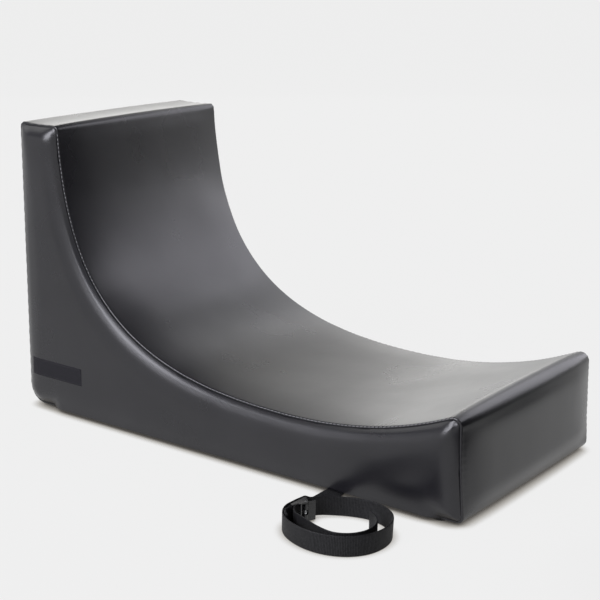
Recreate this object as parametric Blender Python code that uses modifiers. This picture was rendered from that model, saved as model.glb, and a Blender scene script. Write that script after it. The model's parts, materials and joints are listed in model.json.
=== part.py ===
"""Pilates arc: an upholstered body arc on a plywood frame, with a webbing strap and cam buckle.

Metres, +Z up. The origin is on the floor under the middle of the arc, +X points from the
tall back to the low toe, and -Y is the side that carries the woven tag and the strap.
"""
import math

import bmesh
import bpy
import numpy as np
from mathutils import Matrix, Vector
from mathutils.geometry import delaunay_2d_cdt, interpolate_bezier

# Outer sizes, from seam to seam
LENGTH = 0.768
WIDTH = 0.354
HEIGHT = 0.433
TOP_DEPTH = 0.0765
TOE_HEIGHT = 0.1475
TOE_LEAN = 0.0093
LOW_FROM_BACK = 0.4924
LOW_HEIGHT = 0.0892
HEEL_INSET = 0.0040
UPRIGHT_LEAN = math.radians(2.9)
TOE_SLOPE = math.radians(25.8)
# How far each end of the arc keeps its direction before it bends
UPRIGHT_REACH = 0.260
KNEE_REACH = 0.264
FLAT_REACH = 0.124
TOE_REACH = 0.067

# Cover: vinyl thickness, folds, seam edge and the fullness of the padding under it
COVER = 0.0012
EDGE_RADIUS = 0.006
FOLD_RADIUS = 0.008
LIP_RADIUS = 0.012
HEEL_RADIUS = 0.030
FOOT_RADIUS = 0.010
TUCK = 0.022
SIDE_TUCK = 0.034
SIDE_FOLD = 0.003
SEAM_GAP = 0.0007
CROWN_BACK = 0.0030
CROWN_TOP = 0.0022
CROWN_ARC = 0.0034
CROWN_FRONT = 0.0048
CROWN_SIDE = 0.0050
CROWN_SPREAD = 0.040
DRAW_BACK = 0.0
DRAW_TOP = 0.0010
DRAW_FRONT = 0.0014

# Foam sheets
ARC_FOAM = 0.020
TOP_FOAM = 0.015
BACK_FOAM = 0.008
FRONT_FOAM = 0.010
SIDE_FOAM = 0.010
FOAM_BEVEL = 0.0012

# Plywood frame
PLY = 0.012
DECK = 0.005
HEEL_WEDGE = 0.45
HEEL_FOAM = 0.0010
BATTEN_DEPTH = 0.018
BATTEN_HEIGHT = 0.040
BATTENS = {
    "upright_batten": (None, 0.280),
    "knee_batten": (0.206, None),
    "toe_batten": (0.606, None),
}
RIBS = {"left_rib": 1, "center_rib": 0, "right_rib": -1}

# Base pad and its notch for the strap
PAD = 0.003
PAD_BACK_INSET = 0.050
PAD_FRONT_INSET = 0.030
PAD_SIDE_INSET = 0.005
PAD_CORNER = 0.008
NOTCH_WIDTH = 0.030

# Woven tag on the near side, from its corner nearest the back
TAG_BACK_INSET = 0.016
TAG_BOTTOM = 0.0535
TAG_LENGTH = 0.100
TAG_HEIGHT = 0.0265
TAG_THICKNESS = 0.0006

# Screws: head radius, shank radius, head depth, point length, whole length
FRAME_SCREW = (0.0040, 0.0020, 0.0026, 0.004, 0.032)
ANCHOR_SCREW = (0.0028, 0.0014, 0.0008, 0.002, 0.0115)
SCREW_SIDES = 8
BASE_SCREWS = (0.146, 0.626)
BACK_SCREWS = (0.230,)
FRONT_SCREW_HEIGHT = 0.055

# Strap and its anchor: x, and distance out from the near side
WEBBING_WIDTH = 0.025
WEBBING = 0.0014
ANCHOR_SIZE = (0.024, 0.016, 0.0010)
ANCHOR_AT = (0.195, -0.016)
ANCHOR_PITCH = 0.014
TAB = 0.0010

# Cam buckle: x, distance out from the near side, and height of its middle
BUCKLE_AT = (0.214, 0.1095, 0.0147)
# Its own frame: u along the webbing, w away from the back plate
BUCKLE_HALF_LENGTH = 0.015
CHEEK = 0.0015
CHEEK_PLAY = 0.0004
BACK_PLATE = 0.0022
BACK_PLATE_END = 0.0086
TAB_BAR = (0.0122, 0.0014)
PIN_AT = (-0.004, 0.0062)
PIN_RADIUS = 0.0012
PIN_PLAY = 0.00006
BOSS_RADIUS = 0.0036
HUB_RADIUS = 0.0032
TOOTH_RADIUS = 0.0052
TOOTH_DEPTH = 0.0007
TOOTH_SPAN = (-78.0, -36.0)
TEETH = 4
TAIL_LENGTH = 0.015
TAIL_ANGLE = 155.0
TAIL_UNDER = 0.0015
TAIL_OVER = 0.0006
LEVER_PLAY = 0.0003
LEVER_TRAVEL = 30.0
POCKET_HALF = 0.0032
POCKET_RADIUS = 0.0034
BRIDGE = (0.0035, 0.0055, 0.0047, 0.0063)
SPRING_WIRE = 0.0003
SPRING_RADIUS = 0.0021
SPRING_PITCH = 0.0011
SPRING_TURNS = 3
SPRING_POINTS = 10

# Clearance between touching pieces
GAP = 0.0003

# Values that follow from those above
BACK_X = -LENGTH / 2
HEEL_X = BACK_X + HEEL_INSET
TOE_X = LENGTH / 2
SIDE_Y = WIDTH / 2
COVER_Z = PAD + 2 * GAP
SKIN = COVER + GAP
INNER_Z = COVER_Z + SKIN
FOAM_SIDE_Y = SIDE_Y - SKIN - SIDE_FOAM
FRAME_Y = FOAM_SIDE_Y - GAP
TOP_FOAM_Z = HEIGHT - SKIN - TOP_FOAM
BACK_BOARD_X = HEEL_X + SKIN + BACK_FOAM + GAP
FRONT_BOARD_X = TOE_X - TOE_LEAN - SKIN - FRONT_FOAM - GAP
BASE_TOP = INNER_Z + PLY
RIB_FOOT = BASE_TOP + GAP
DECK_DEPTH = SKIN + ARC_FOAM + GAP
RIB_DEPTH = DECK_DEPTH + DECK + GAP
HEEL_FOAM_RADIUS = HEEL_RADIUS - SKIN
HEEL_BOARD_REACH = HEEL_FOAM_RADIUS - BACK_FOAM - GAP
BASE_BEVEL = (HEEL_BOARD_REACH + GAP, HEEL_FOAM_RADIUS - math.sqrt(
    (HEEL_FOAM_RADIUS - HEEL_FOAM) ** 2 - HEEL_BOARD_REACH ** 2))
CHEEK_INNER = WEBBING_WIDTH / 2 + CHEEK_PLAY
PLATE_TOP = -WEBBING / 2 - GAP
FLAT_Y = SIDE_Y - EDGE_RADIUS
ARC_SAMPLES = 240
ARC_STEPS = 25

# The strap's route, by hand: x, distance out from the near side, height of its lower edge,
# and its tilt from flat in degrees
STRAP_ROUTE = (
    (0.1950, -0.0250, 0.0024, 0), (0.1950, -0.0110, 0.0024, 0), (0.1955, 0.0030, 0.0022, 2),
    (0.1975, 0.0190, 0.0014, 8), (0.2010, 0.0370, 0.0010, 15), (0.2050, 0.0550, 0.0008, 26),
    (0.2065, 0.0710, 0.0006, 46), (0.2045, 0.0870, 0.0003, 76), (0.2015, 0.1040, 0.0003, 90),
    (0.2020, 0.1210, 0.0003, 90), (0.2090, 0.1375, 0.0003, 90), (0.2240, 0.1525, 0.0003, 90),
    (0.2460, 0.1630, 0.0003, 92), (0.2700, 0.1675, 0.0003, 94), (0.2940, 0.1645, 0.0003, 97),
    (0.3160, 0.1530, 0.0003, 99), (0.3310, 0.1340, 0.0003, 99), (0.3370, 0.1100, 0.0003, 95),
    (0.3340, 0.0850, 0.0003, 90), (0.3210, 0.0640, 0.0003, 86), (0.3000, 0.0510, 0.0003, 82),
    (0.2760, 0.0470, 0.0003, 80), (0.2530, 0.0530, 0.0003, 80), (0.2350, 0.0640, 0.0006, 83),
    (0.2210, 0.0780, 0.0014, 88), (0.2142, 0.0930, 0.0021, 90), (0.2140, 0.1030, 0.0022, 90),
    (0.2140, 0.1120, 0.0022, 90), (0.2150, 0.1185, 0.0021, 90), (0.2168, 0.1255, 0.0018, 90),
    (0.2245, 0.1330, 0.0012, 90), (0.2380, 0.1380, 0.0006, 90), (0.2760, 0.1505, 0.0003, 90),
    (0.2960, 0.1515, 0.0003, 90), (0.3120, 0.1430, 0.0003, 92), (0.3220, 0.1270, 0.0003, 92),
    (0.3235, 0.1080, 0.0003, 92), (0.3170, 0.0910, 0.0003, 90), (0.3060, 0.0790, 0.0003, 90),
    (0.2935, 0.0715, 0.0003, 90),
)
STRAP_STEPS = 3

# The tab's route in the buckle's frame: from the strap's inner face, round the bar and back
TAB_LEG = ((0.0388, 0.0092), (0.0336, 0.0033), (0.0266, -0.0023), (0.0205, -0.0031))

COLLECTION = bpy.data.collections.new("pilates_arc")
CUTTERS = bpy.data.collections.new("cutters")


def start_scene():
    """Empty the scene and add the two collections."""
    for old in list(bpy.data.objects):
        bpy.data.objects.remove(old, do_unlink=True)
    bpy.context.scene.collection.children.link(COLLECTION)
    bpy.context.scene.collection.children.link(CUTTERS)


def material(name, colour, roughness, metallic=0.0):
    """A plain Principled BSDF."""
    made = bpy.data.materials.new(name)
    made.use_nodes = True
    shader = made.node_tree.nodes["Principled BSDF"]
    shader.inputs["Base Color"].default_value = (*colour, 1.0)
    shader.inputs["Roughness"].default_value = roughness
    shader.inputs["Metallic"].default_value = metallic
    return made


def add_object(name, data, look=None, parent=None, collection=COLLECTION):
    """Link a mesh or curve as an object, under a parent if it has one."""
    made = bpy.data.objects.new(name, data)
    collection.objects.link(made)
    if look is not None:
        data.materials.append(look)
    if parent is not None:
        made.parent = parent
    return made


def mesh_object(name, shape, look, parent=None, collection=COLLECTION):
    """Turn a bmesh into an object with its faces pointing out."""
    bmesh.ops.recalc_face_normals(shape, faces=shape.faces)
    data = bpy.data.meshes.new(name)
    shape.to_mesh(data)
    shape.free()
    made = add_object(name, data, look, parent, collection)
    if look is not None:
        data.shade_smooth()
        data.set_sharp_from_angle(angle=math.radians(35))
    return made


def as_cutter(item):
    """Keep a cutter out of the model's own views."""
    item.hide_render = True
    item.display_type = 'WIRE'
    return item


def cut(target, cutter, operation='DIFFERENCE'):
    """Boolean one object with another."""
    step = target.modifiers.new(cutter.name, 'BOOLEAN')
    step.operation = operation
    step.solver = 'EXACT'
    step.object = cutter


def box(name, low, high, look, parent=None, collection=COLLECTION):
    """A box between two corners."""
    shape = bmesh.new()
    bmesh.ops.create_cube(shape, size=1.0)
    for vert in shape.verts:
        vert.co = Vector([low[i] + (vert.co[i] + 0.5) * (high[i] - low[i]) for i in range(3)])
    return mesh_object(name, shape, look, parent, collection)


def outline_plate(name, outline, low, high, look, upright=True, parent=None, collection=COLLECTION):
    """A flat outline extruded from low to high: across Y if upright, else along Z."""
    curve = bpy.data.curves.new(name + "_outline", 'CURVE')
    curve.dimensions = '2D'
    curve.fill_mode = 'BOTH'
    curve.extrude = (high - low) / 2
    line = curve.splines.new('POLY')
    line.points.add(len(outline) - 1)
    for point, (across, along) in zip(line.points, outline):
        point.co = (across, along, 0.0, 1.0)
    line.use_cyclic_u = True
    guide = add_object(name + "_guide", curve)
    if upright:
        guide.matrix_world = Matrix.Translation((0, (low + high) / 2, 0)) @ Matrix.Rotation(
            math.pi / 2, 4, 'X')
    else:
        guide.matrix_world = Matrix.Translation((0, 0, (low + high) / 2))
    bpy.context.view_layer.update()
    data = bpy.data.meshes.new_from_object(guide.evaluated_get(bpy.context.evaluated_depsgraph_get()))
    shape = bmesh.new()
    shape.from_mesh(data)
    bmesh.ops.remove_doubles(shape, verts=shape.verts, dist=0.00001)
    bmesh.ops.transform(shape, matrix=guide.matrix_world, verts=shape.verts)
    bpy.data.objects.remove(guide, do_unlink=True)
    bpy.data.meshes.remove(data)
    return mesh_object(name, shape, look, parent, collection)


def skin_body(name, outer, inner, faces, look):
    """A sheet between two matching point sets, with the rim closed."""
    shape = bmesh.new()
    top = [shape.verts.new(point) for point in outer]
    bottom = [shape.verts.new(point) for point in inner]
    for face in faces:
        shape.faces.new([top[i] for i in face])
    rim = [(edge.verts[0].index, edge.verts[1].index) for edge in indexed(shape).edges
           if edge.is_boundary]
    for face in faces:
        shape.faces.new([bottom[i] for i in reversed(face)])
    for first, second in rim:
        shape.faces.new((top[first], top[second], bottom[second], bottom[first]))
    loose = [vert for vert in shape.verts if not vert.link_faces]
    bmesh.ops.delete(shape, geom=loose, context='VERTS')
    flat = [edge for edge in shape.edges
            if len(edge.link_faces) == 2 and edge.calc_face_angle(1.0) < 0.0005]
    bmesh.ops.dissolve_limit(shape, angle_limit=0.0005, verts=shape.verts, edges=flat)
    return mesh_object(name, shape, look)


def indexed(shape):
    """The same bmesh with fresh vertex indices."""
    shape.verts.index_update()
    shape.verts.ensure_lookup_table()
    return shape


def loft(name, sections, look, parent=None):
    """Join equal rings of points into one closed body."""
    shape = bmesh.new()
    rings = [[shape.verts.new(point) for point in ring] for ring in sections]
    count = len(rings[0])
    for near, far in zip(rings, rings[1:]):
        for i in range(count):
            j = (i + 1) % count
            shape.faces.new((near[i], near[j], far[j], far[i]))
    shape.faces.new(rings[0][::-1])
    shape.faces.new(rings[-1])
    return mesh_object(name, shape, look, parent)


def turned_mesh(profile):
    """The mesh of a profile turned about Z; the profile runs down its outer side."""
    data = bpy.data.meshes.new("profile")
    data.from_pydata([(radius, 0.0, height) for radius, height in profile],
                     [(i, i + 1) for i in range(len(profile) - 1)], [])
    guide = add_object("profile", data)
    turn = guide.modifiers.new("turn", 'SCREW')
    turn.steps = SCREW_SIDES
    turn.render_steps = SCREW_SIDES
    turn.use_merge_vertices = True
    turn.merge_threshold = 0.00001
    bpy.context.view_layer.update()
    made = bpy.data.meshes.new_from_object(guide.evaluated_get(bpy.context.evaluated_depsgraph_get()))
    bpy.data.objects.remove(guide, do_unlink=True)
    return made


def screw_profile(sizes, grow=0.0):
    """A countersunk wood screw with its head's face at z = 0, pointing down, or its wider hole."""
    head, shank, head_depth, point, length = sizes
    mouth = [(0.0, grow), (head + grow, grow)] if grow else [(0.0, 0.0)]
    return mouth + [(head + grow, -grow / 2), (shank + grow, -head_depth - grow / 2),
                    (shank + grow, point - length), (0.0, -length - grow)]


def screws(name, sizes, places, look):
    """Equal screws that share one mesh; each place is its head's centre and its direction."""
    one = turned_mesh(screw_profile(sizes))
    one.materials.append(look)
    for number, (centre, direction) in enumerate(places, 1):
        made = add_object(f"{name}_{number:02d}", one)
        made.location = centre
        made.rotation_euler = Vector((0, 0, -1)).rotation_difference(Vector(direction)).to_euler()


def screw_holes(name, sizes, places):
    """One cutter for all the holes of a set of screws, a gap wider than the screws."""
    one = turned_mesh(screw_profile(sizes, GAP))
    shape = bmesh.new()
    for centre, direction in places:
        turn = Vector((0, 0, -1)).rotation_difference(Vector(direction)).to_matrix().to_4x4()
        before = len(shape.verts)
        shape.from_mesh(one)
        shape.verts.ensure_lookup_table()
        bmesh.ops.transform(shape, matrix=Matrix.Translation(centre) @ turn,
                            verts=shape.verts[before:])
    return as_cutter(mesh_object(name, shape, None, collection=CUTTERS))


class Station:
    """One point of the cover's outline at the seam, with the strip's crown there."""

    def __init__(self, x, z, crown=0.0, mark=None):
        self.x = x
        self.z = z
        self.crown = crown
        self.mark = mark
        self.normal = (0.0, 0.0)

    def inward(self, depth):
        return self.x - self.normal[0] * depth, self.z - self.normal[1] * depth


def corner(at, arriving, leaving, radius, steps, crown):
    """The stations of a rounded corner between two directions; the path turns right."""
    turn = math.acos(arriving[0] * leaving[0] + arriving[1] * leaving[1])
    reach = radius * math.tan(turn / 2)
    start = (at[0] - arriving[0] * reach, at[1] - arriving[1] * reach)
    centre = (start[0] + arriving[1] * radius, start[1] - arriving[0] * radius)
    made = []
    for i in range(steps + 1):
        angle = turn * i / steps
        out = (-arriving[1] * math.cos(angle) + arriving[0] * math.sin(angle),
               arriving[0] * math.cos(angle) + arriving[1] * math.sin(angle))
        made.append(Station(centre[0] + out[0] * radius, centre[1] + out[1] * radius, crown))
    return made


def face(start, end, shares, draw, crown, marks=None):
    """Stations along a flat face whose middle is drawn in and whose padding is crowned."""
    along = Vector(end) - Vector(start)
    out = Vector((-along.y, along.x)).normalized()
    made = []
    for share in shares:
        swell = math.sin(math.pi * share)
        at = Vector(start) + along * share - out * draw * swell
        mark = None if marks is None else marks.get(share)
        made.append(Station(at.x, at.y, crown * math.sqrt(max(swell, 0.0)), mark))
    return made


def arc_rows():
    """Even steps down the arc, from the top seam to the toe, with their normals out of the body."""
    top = Vector((BACK_X + TOP_DEPTH, HEIGHT))
    low = Vector((BACK_X + LOW_FROM_BACK, LOW_HEIGHT))
    toe = Vector((TOE_X - TOE_LEAN, TOE_HEIGHT))
    down = Vector((math.sin(UPRIGHT_LEAN), -math.cos(UPRIGHT_LEAN)))
    rise = Vector((math.cos(TOE_SLOPE), math.sin(TOE_SLOPE)))
    level = Vector((1, 0))
    first = interpolate_bezier(top, top + down * UPRIGHT_REACH, low - level * KNEE_REACH,
                               low, ARC_SAMPLES)
    second = interpolate_bezier(low, low + level * FLAT_REACH, toe - rise * TOE_REACH,
                                toe, ARC_SAMPLES)
    line = np.array([point.to_2d() for point in first + second[1:]])
    along = np.gradient(line, axis=0)
    along /= np.linalg.norm(along, axis=1)[:, None]
    run = np.concatenate([[0.0], np.cumsum(np.linalg.norm(np.diff(line, axis=0), axis=1))])
    spots = np.linspace(0.0, run[-1], ARC_STEPS + 1)
    columns = [np.interp(spots, run, values) for values in (*line.T, -along[:, 1], along[:, 0])]
    return np.stack(columns[:2], axis=1), np.stack(columns[2:], axis=1)


def arc_line(depth, highest, furthest):
    """The arc's line at a depth, below a height and behind an x, with its ends cut true."""
    points, normals = arc_rows()
    line = points - normals * depth
    kept = []
    for (x0, z0), (x1, z1) in zip(line, line[1:]):
        if z0 > highest >= z1:
            share = (z0 - highest) / (z0 - z1)
            kept.append((x0 + (x1 - x0) * share, highest))
        if z1 <= highest and x1 <= furthest:
            kept.append((x1, z1))
        if x0 <= furthest < x1:
            share = (furthest - x0) / (x1 - x0)
            kept.append((furthest, z0 + (z1 - z0) * share))
    return kept


def deck_line(depth, highest):
    """A line under the arc at a depth, from the top foam to the front board."""
    return arc_line(depth, highest, FRONT_BOARD_X - PLY - GAP)


def seam_path():
    """The whole outline of the cover at its seam, from the tuck at the heel to the tuck at the toe."""
    up = (0.0, 1.0)
    down = (math.sin(UPRIGHT_LEAN), -math.cos(UPRIGHT_LEAN))
    rise = (math.cos(TOE_SLOPE), math.sin(TOE_SLOPE))
    lip = Vector((TOE_X - TOE_LEAN, TOE_HEIGHT))
    foot = Vector((TOE_X, COVER_Z))
    fall = tuple((foot - lip).normalized())
    path = [Station(HEEL_X + HEEL_RADIUS + TUCK, COVER_Z)]
    path += corner((HEEL_X, COVER_Z), (-1.0, 0.0), up, HEEL_RADIUS, 5, 0.0)
    back = ((HEEL_X, COVER_Z + HEEL_RADIUS), (BACK_X, HEIGHT - FOLD_RADIUS))
    joint = (TOP_FOAM_Z - back[0][1]) / (back[1][1] - back[0][1])
    path += face(*back, (0.2, 0.45, 0.7, joint), DRAW_BACK, CROWN_BACK, {joint: "back_joint"})
    path += corner((BACK_X, HEIGHT), up, (1.0, 0.0), FOLD_RADIUS, 3, CROWN_TOP / 2)
    path += face((BACK_X + FOLD_RADIUS, HEIGHT), (BACK_X + TOP_DEPTH - FOLD_RADIUS, HEIGHT),
                 (0.25, 0.5, 0.75), DRAW_TOP, CROWN_TOP)
    path += corner((BACK_X + TOP_DEPTH, HEIGHT), (1.0, 0.0), down, FOLD_RADIUS, 3, CROWN_TOP / 2)
    turn = math.acos(rise[0] * fall[0] + rise[1] * fall[1])
    reach = LIP_RADIUS * math.tan(turn / 2)
    arc = arc_line(0.0, TOP_FOAM_Z, lip.x - rise[0] * reach)
    stations = [Station(x, z, CROWN_ARC) for x, z in arc]
    stations[0].mark = "arc_joint"
    path += stations[:-1]
    path += corner(tuple(lip), rise, fall, LIP_RADIUS, 4, CROWN_ARC)
    front = (lip + Vector(fall) * reach, foot - Vector(fall) * FOOT_RADIUS)
    joint_z = deck_line(DECK_DEPTH - GAP, TOP_FOAM_Z)[-1][1]
    joint = (front[0].y - joint_z) / (front[0].y - front[1].y)
    path += face(*front, (joint, 0.45, 0.75), DRAW_FRONT, CROWN_FRONT, {joint: "front_joint"})
    path += corner(tuple(foot), fall, (-1.0, 0.0), FOOT_RADIUS, 3, 0.0)
    path.append(Station(TOE_X - FOOT_RADIUS - TUCK, COVER_Z))
    line = np.array([(point.x, point.z) for point in path])
    along = np.gradient(line, axis=0)
    along /= np.linalg.norm(along, axis=1)[:, None]
    for point, (x, z) in zip(path, along):
        point.normal = (-z, x)
    return path


def marked(path, mark):
    """The index of a marked station."""
    return next(i for i, point in enumerate(path) if point.mark == mark)


def crown_at(y):
    """The share of a strip's crown at a distance from the middle."""
    return max(0.0, 1.0 - (y / FLAT_Y) ** 2)


def edge_point(point, angle, depth):
    """A point on the rounded seam edge: 0 degrees faces off the strip, 90 off the side panel."""
    radius = EDGE_RADIUS - depth
    x, z = point.inward(EDGE_RADIUS - radius * math.cos(angle))
    return x, FLAT_Y + radius * math.sin(angle), z


def strip_row(point, depth):
    """One row of the main strip, from the far seam to the near seam."""
    half_seam = math.radians(45) - SEAM_GAP / EDGE_RADIUS / 2
    edge = [edge_point(point, angle, depth) for angle in (half_seam, half_seam / 2)]
    middle = [(FLAT_Y, 0.0), (FLAT_Y * 0.55, crown_at(FLAT_Y * 0.55)), (0.0, 1.0)]
    half = edge + [flat_point(point, depth - point.crown * share, y) for y, share in middle]
    mirrored = [(x, -y, z) for x, y, z in reversed(half[:-1])]
    return half + mirrored


def flat_point(point, depth, y):
    """A point on the strip's flat part at a depth."""
    x, z = point.inward(depth)
    return x, y, z


def main_cover(path, look):
    """The long strip of vinyl from heel to toe."""
    outer = [spot for point in path for spot in strip_row(point, 0.0)]
    inner = [spot for point in path for spot in strip_row(point, COVER)]
    width = len(strip_row(path[0], 0.0))
    faces = [(r * width + c, r * width + c + 1, (r + 1) * width + c + 1, (r + 1) * width + c)
             for r in range(len(path) - 1) for c in range(width - 1)]
    return skin_body("main_cover", outer, inner, faces, look)


def distance_to(line, points):
    """The least distance from each point to a line of straight pieces."""
    start = np.array(line[:-1])
    step = np.array(line[1:]) - start
    where = np.array(points)[:, None, :] - start[None]
    share = np.clip((where * step).sum(-1) / np.maximum((step * step).sum(-1), 1e-12), 0, 1)
    return np.linalg.norm(where - share[..., None] * step, axis=-1).min(axis=1)


def side_bulge(path, points):
    """How far the side padding stands proud of the seam at points of the panel."""
    rim = [edge_point(point, math.pi / 2, 0.0)[::2] for point in path]
    rim = rim + [rim[0]]
    reach = np.minimum(distance_to(rim, points) / CROWN_SPREAD, 1.0)
    return CROWN_SIDE * np.sin(reach * math.pi / 2)


def panel_grid(rim, floor, pitch=(0.040, 0.034), clear=0.014):
    """Evenly spread points inside the panel, clear of its rim."""
    xs = np.arange(BACK_X + pitch[0] / 2, TOE_X, pitch[0])
    zs = np.arange(floor + pitch[1] / 2, HEIGHT, pitch[1])
    spots = [(x, z) for x in xs for z in zs if inside(rim, x, z)]
    if not spots:
        return []
    away = distance_to(rim + [rim[0]], spots)
    return [spot for spot, gap in zip(spots, away) if gap > clear]


def inside(ring, x, z):
    """Whether a point lies inside a closed ring."""
    hit = False
    for (x0, z0), (x1, z1) in zip(ring, ring[1:] + ring[:1]):
        if (z0 > z) != (z1 > z) and x < x0 + (z - z0) / (z1 - z0) * (x1 - x0):
            hit = not hit
    return hit


class Sheet:
    """A triangulated side sheet, gathered as flat points and their real places."""

    def __init__(self):
        self.flat = []
        self.real = []
        self.edges = []

    def line(self, spots):
        """Add a run of (flat point, real point) pairs joined in order, and give its indices."""
        first = len(self.flat)
        for flat, real in spots:
            self.flat.append(Vector(flat))
            self.real.append(real)
        run = list(range(first, len(self.flat)))
        self.edges += list(zip(run, run[1:]))
        return run

    def triangles(self, outline):
        """Fill the outline, keeping every line that was added."""
        made = delaunay_2d_cdt(self.flat, self.edges, [outline], 1, 1e-7)
        order = [source[0] for source in made[3]]
        return [tuple(order[i] for i in triangle) for triangle in made[2]]


def side_rings(sheet, path, angles, depth):
    """Add the rounded rim of a side sheet, ring by ring, and give the outer ring."""
    runs = []
    for angle in angles:
        spots = [edge_point(point, angle, depth) for point in path]
        runs.append(sheet.line([((x, z), (x, y, z)) for x, y, z in spots]))
    return runs[0]


def side_middle(sheet, path, depth, floor):
    """Add the crowned middle of a side sheet."""
    rim = [edge_point(point, math.pi / 2, 0.0)[::2] for point in path]
    spots = panel_grid(rim, floor)
    for (x, z), bulge in zip(spots, side_bulge(path, spots)):
        sheet.line([((x, z), (x, SIDE_Y + bulge - depth, z))])


def side_cover_sheet(path, depth):
    """The side panel with its tuck under the base, at a depth in its thickness."""
    sheet = Sheet()
    seam = math.radians(45) + SEAM_GAP / EDGE_RADIUS / 2
    outline = side_rings(sheet, path, (seam, (seam + math.pi / 2) / 2, math.pi / 2), depth)
    first = HEEL_X + HEEL_RADIUS + TUCK + COVER
    last = TOE_X - FOOT_RADIUS - TUCK - COVER
    radius = SIDE_FOLD - depth
    xs = np.linspace(last, first, 9)
    rows = []
    for angle in (0.0, math.pi / 4, math.pi / 2):
        q = COVER_Z + SIDE_FOLD * (1 - angle)
        y = SIDE_Y - SIDE_FOLD + radius * math.cos(angle)
        z = COVER_Z + SIDE_FOLD - radius * math.sin(angle)
        rows.append(sheet.line([((x, q), (x, y, z)) for x in xs]))
    y = SIDE_Y - SIDE_TUCK
    rows.append(sheet.line([((x, COVER_Z - SIDE_TUCK), (x, y, COVER_Z + depth)) for x in xs]))
    outline = outline + [row[0] for row in rows] + rows[-1][1:-1] + [row[-1] for row in rows[::-1]]
    side_middle(sheet, path, depth, COVER_Z + SIDE_FOLD)
    return sheet, outline


def side_cover(name, side, path, look):
    """One side panel of vinyl; side is +1 for the far side and -1 for the near side."""
    outer, outline = side_cover_sheet(path, 0.0)
    inner, _ = side_cover_sheet(path, COVER)
    faces = outer.triangles(outline)
    mirror = np.array((1, side, 1))
    return skin_body(name, np.array(outer.real) * mirror, np.array(inner.real) * mirror, faces, look)


def side_foam(name, side, path, look):
    """The foam under one side panel, flat against the ribs."""
    sheet = Sheet()
    outline = side_rings(sheet, path, [math.radians(a) for a in (0, 30, 60, 90)], SKIN)
    xs = np.linspace(path[-1].x, path[0].x, 9)
    low = sheet.line([((x, INNER_Z), (x, SIDE_Y - SKIN - FOAM_BEVEL, INNER_Z)) for x in xs[1:-1]])
    lift = INNER_Z + FOAM_BEVEL
    sheet.line([((x, lift), (x, SIDE_Y - SKIN, lift)) for x in xs[1:-1]])
    outline = outline + low
    side_middle(sheet, path, SKIN, COVER_Z + SIDE_FOLD)
    faces = sheet.triangles(outline)
    mirror = np.array((1, side, 1))
    outer = np.array(sheet.real)
    inner = outer.copy()
    inner[:, 1] = FOAM_SIDE_Y
    return skin_body(name, outer * mirror, inner * mirror, faces, look)


def foam_under_strip(name, stations, inner_line, look):
    """A foam sheet whose outside follows the strip and whose inside is a fixed line."""
    reach = FOAM_SIDE_Y - GAP
    sections = []
    for y in (-reach, -FLAT_Y * 0.55, 0.0, FLAT_Y * 0.55, reach):
        ring = []
        for point in stations:
            x, z = point.inward(SKIN - point.crown * crown_at(y))
            ring.append((x, y, z))
        ring += [(x, y, z) for x, z in inner_line]
        sections.append(ring)
    return loft(name, sections, look)


def pulled_in(path, first, last):
    """The stations from first to last, with both ends drawn back by half a gap."""
    kept = [copy_station(point) for point in path[first:last + 1]]
    for end, other in ((0, 1), (-1, -2)):
        step = Vector((kept[other].x - kept[end].x, kept[other].z - kept[end].z))
        step = step.normalized() * GAP / 2
        kept[end].x += step.x
        kept[end].z += step.y
    return kept


def copy_station(point):
    """A station with the same values."""
    made = Station(point.x, point.z, point.crown)
    made.normal = point.normal
    return made


def foams(path, look):
    """The six foam sheets."""
    back = marked(path, "back_joint")
    arc = marked(path, "arc_joint")
    front = marked(path, "front_joint")
    foam_under_strip("top_foam", pulled_in(path, back, arc), [], look)
    heel = pulled_in(path, 2, back)
    inside_x = BACK_BOARD_X - GAP
    bevel = Vector((BASE_BEVEL[0], -BASE_BEVEL[1]))
    out = Vector((bevel.y, -bevel.x)).normalized()
    board_edge = Vector((BACK_BOARD_X, INNER_Z + BASE_BEVEL[1]))
    foot = board_edge + bevel * HEEL_WEDGE + out * GAP
    behind = [(inside_x, TOP_FOAM_Z - GAP / 2), (inside_x, board_edge.y - GAP), tuple(foot)]
    foam_under_strip("back_foam", heel, behind, look)
    under = deck_line(DECK_DEPTH - GAP, TOP_FOAM_Z - GAP / 2)
    under.append((pulled_in(path, arc, front)[-1].inward(SKIN)[0] - GAP, under[-1][1]))
    foam_under_strip("arc_foam", pulled_in(path, arc, front), under[::-1][1:], look)
    toe_x = FRONT_BOARD_X + GAP
    lower = pulled_in(path, front, len(path) - 3)
    foam_under_strip("front_foam", lower, [(toe_x, lower[-1].inward(SKIN)[1]),
                                           (toe_x, lower[0].z - GAP)], look)
    side_foam("left_side_foam", 1, path, look)
    side_foam("right_side_foam", -1, path, look)


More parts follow.
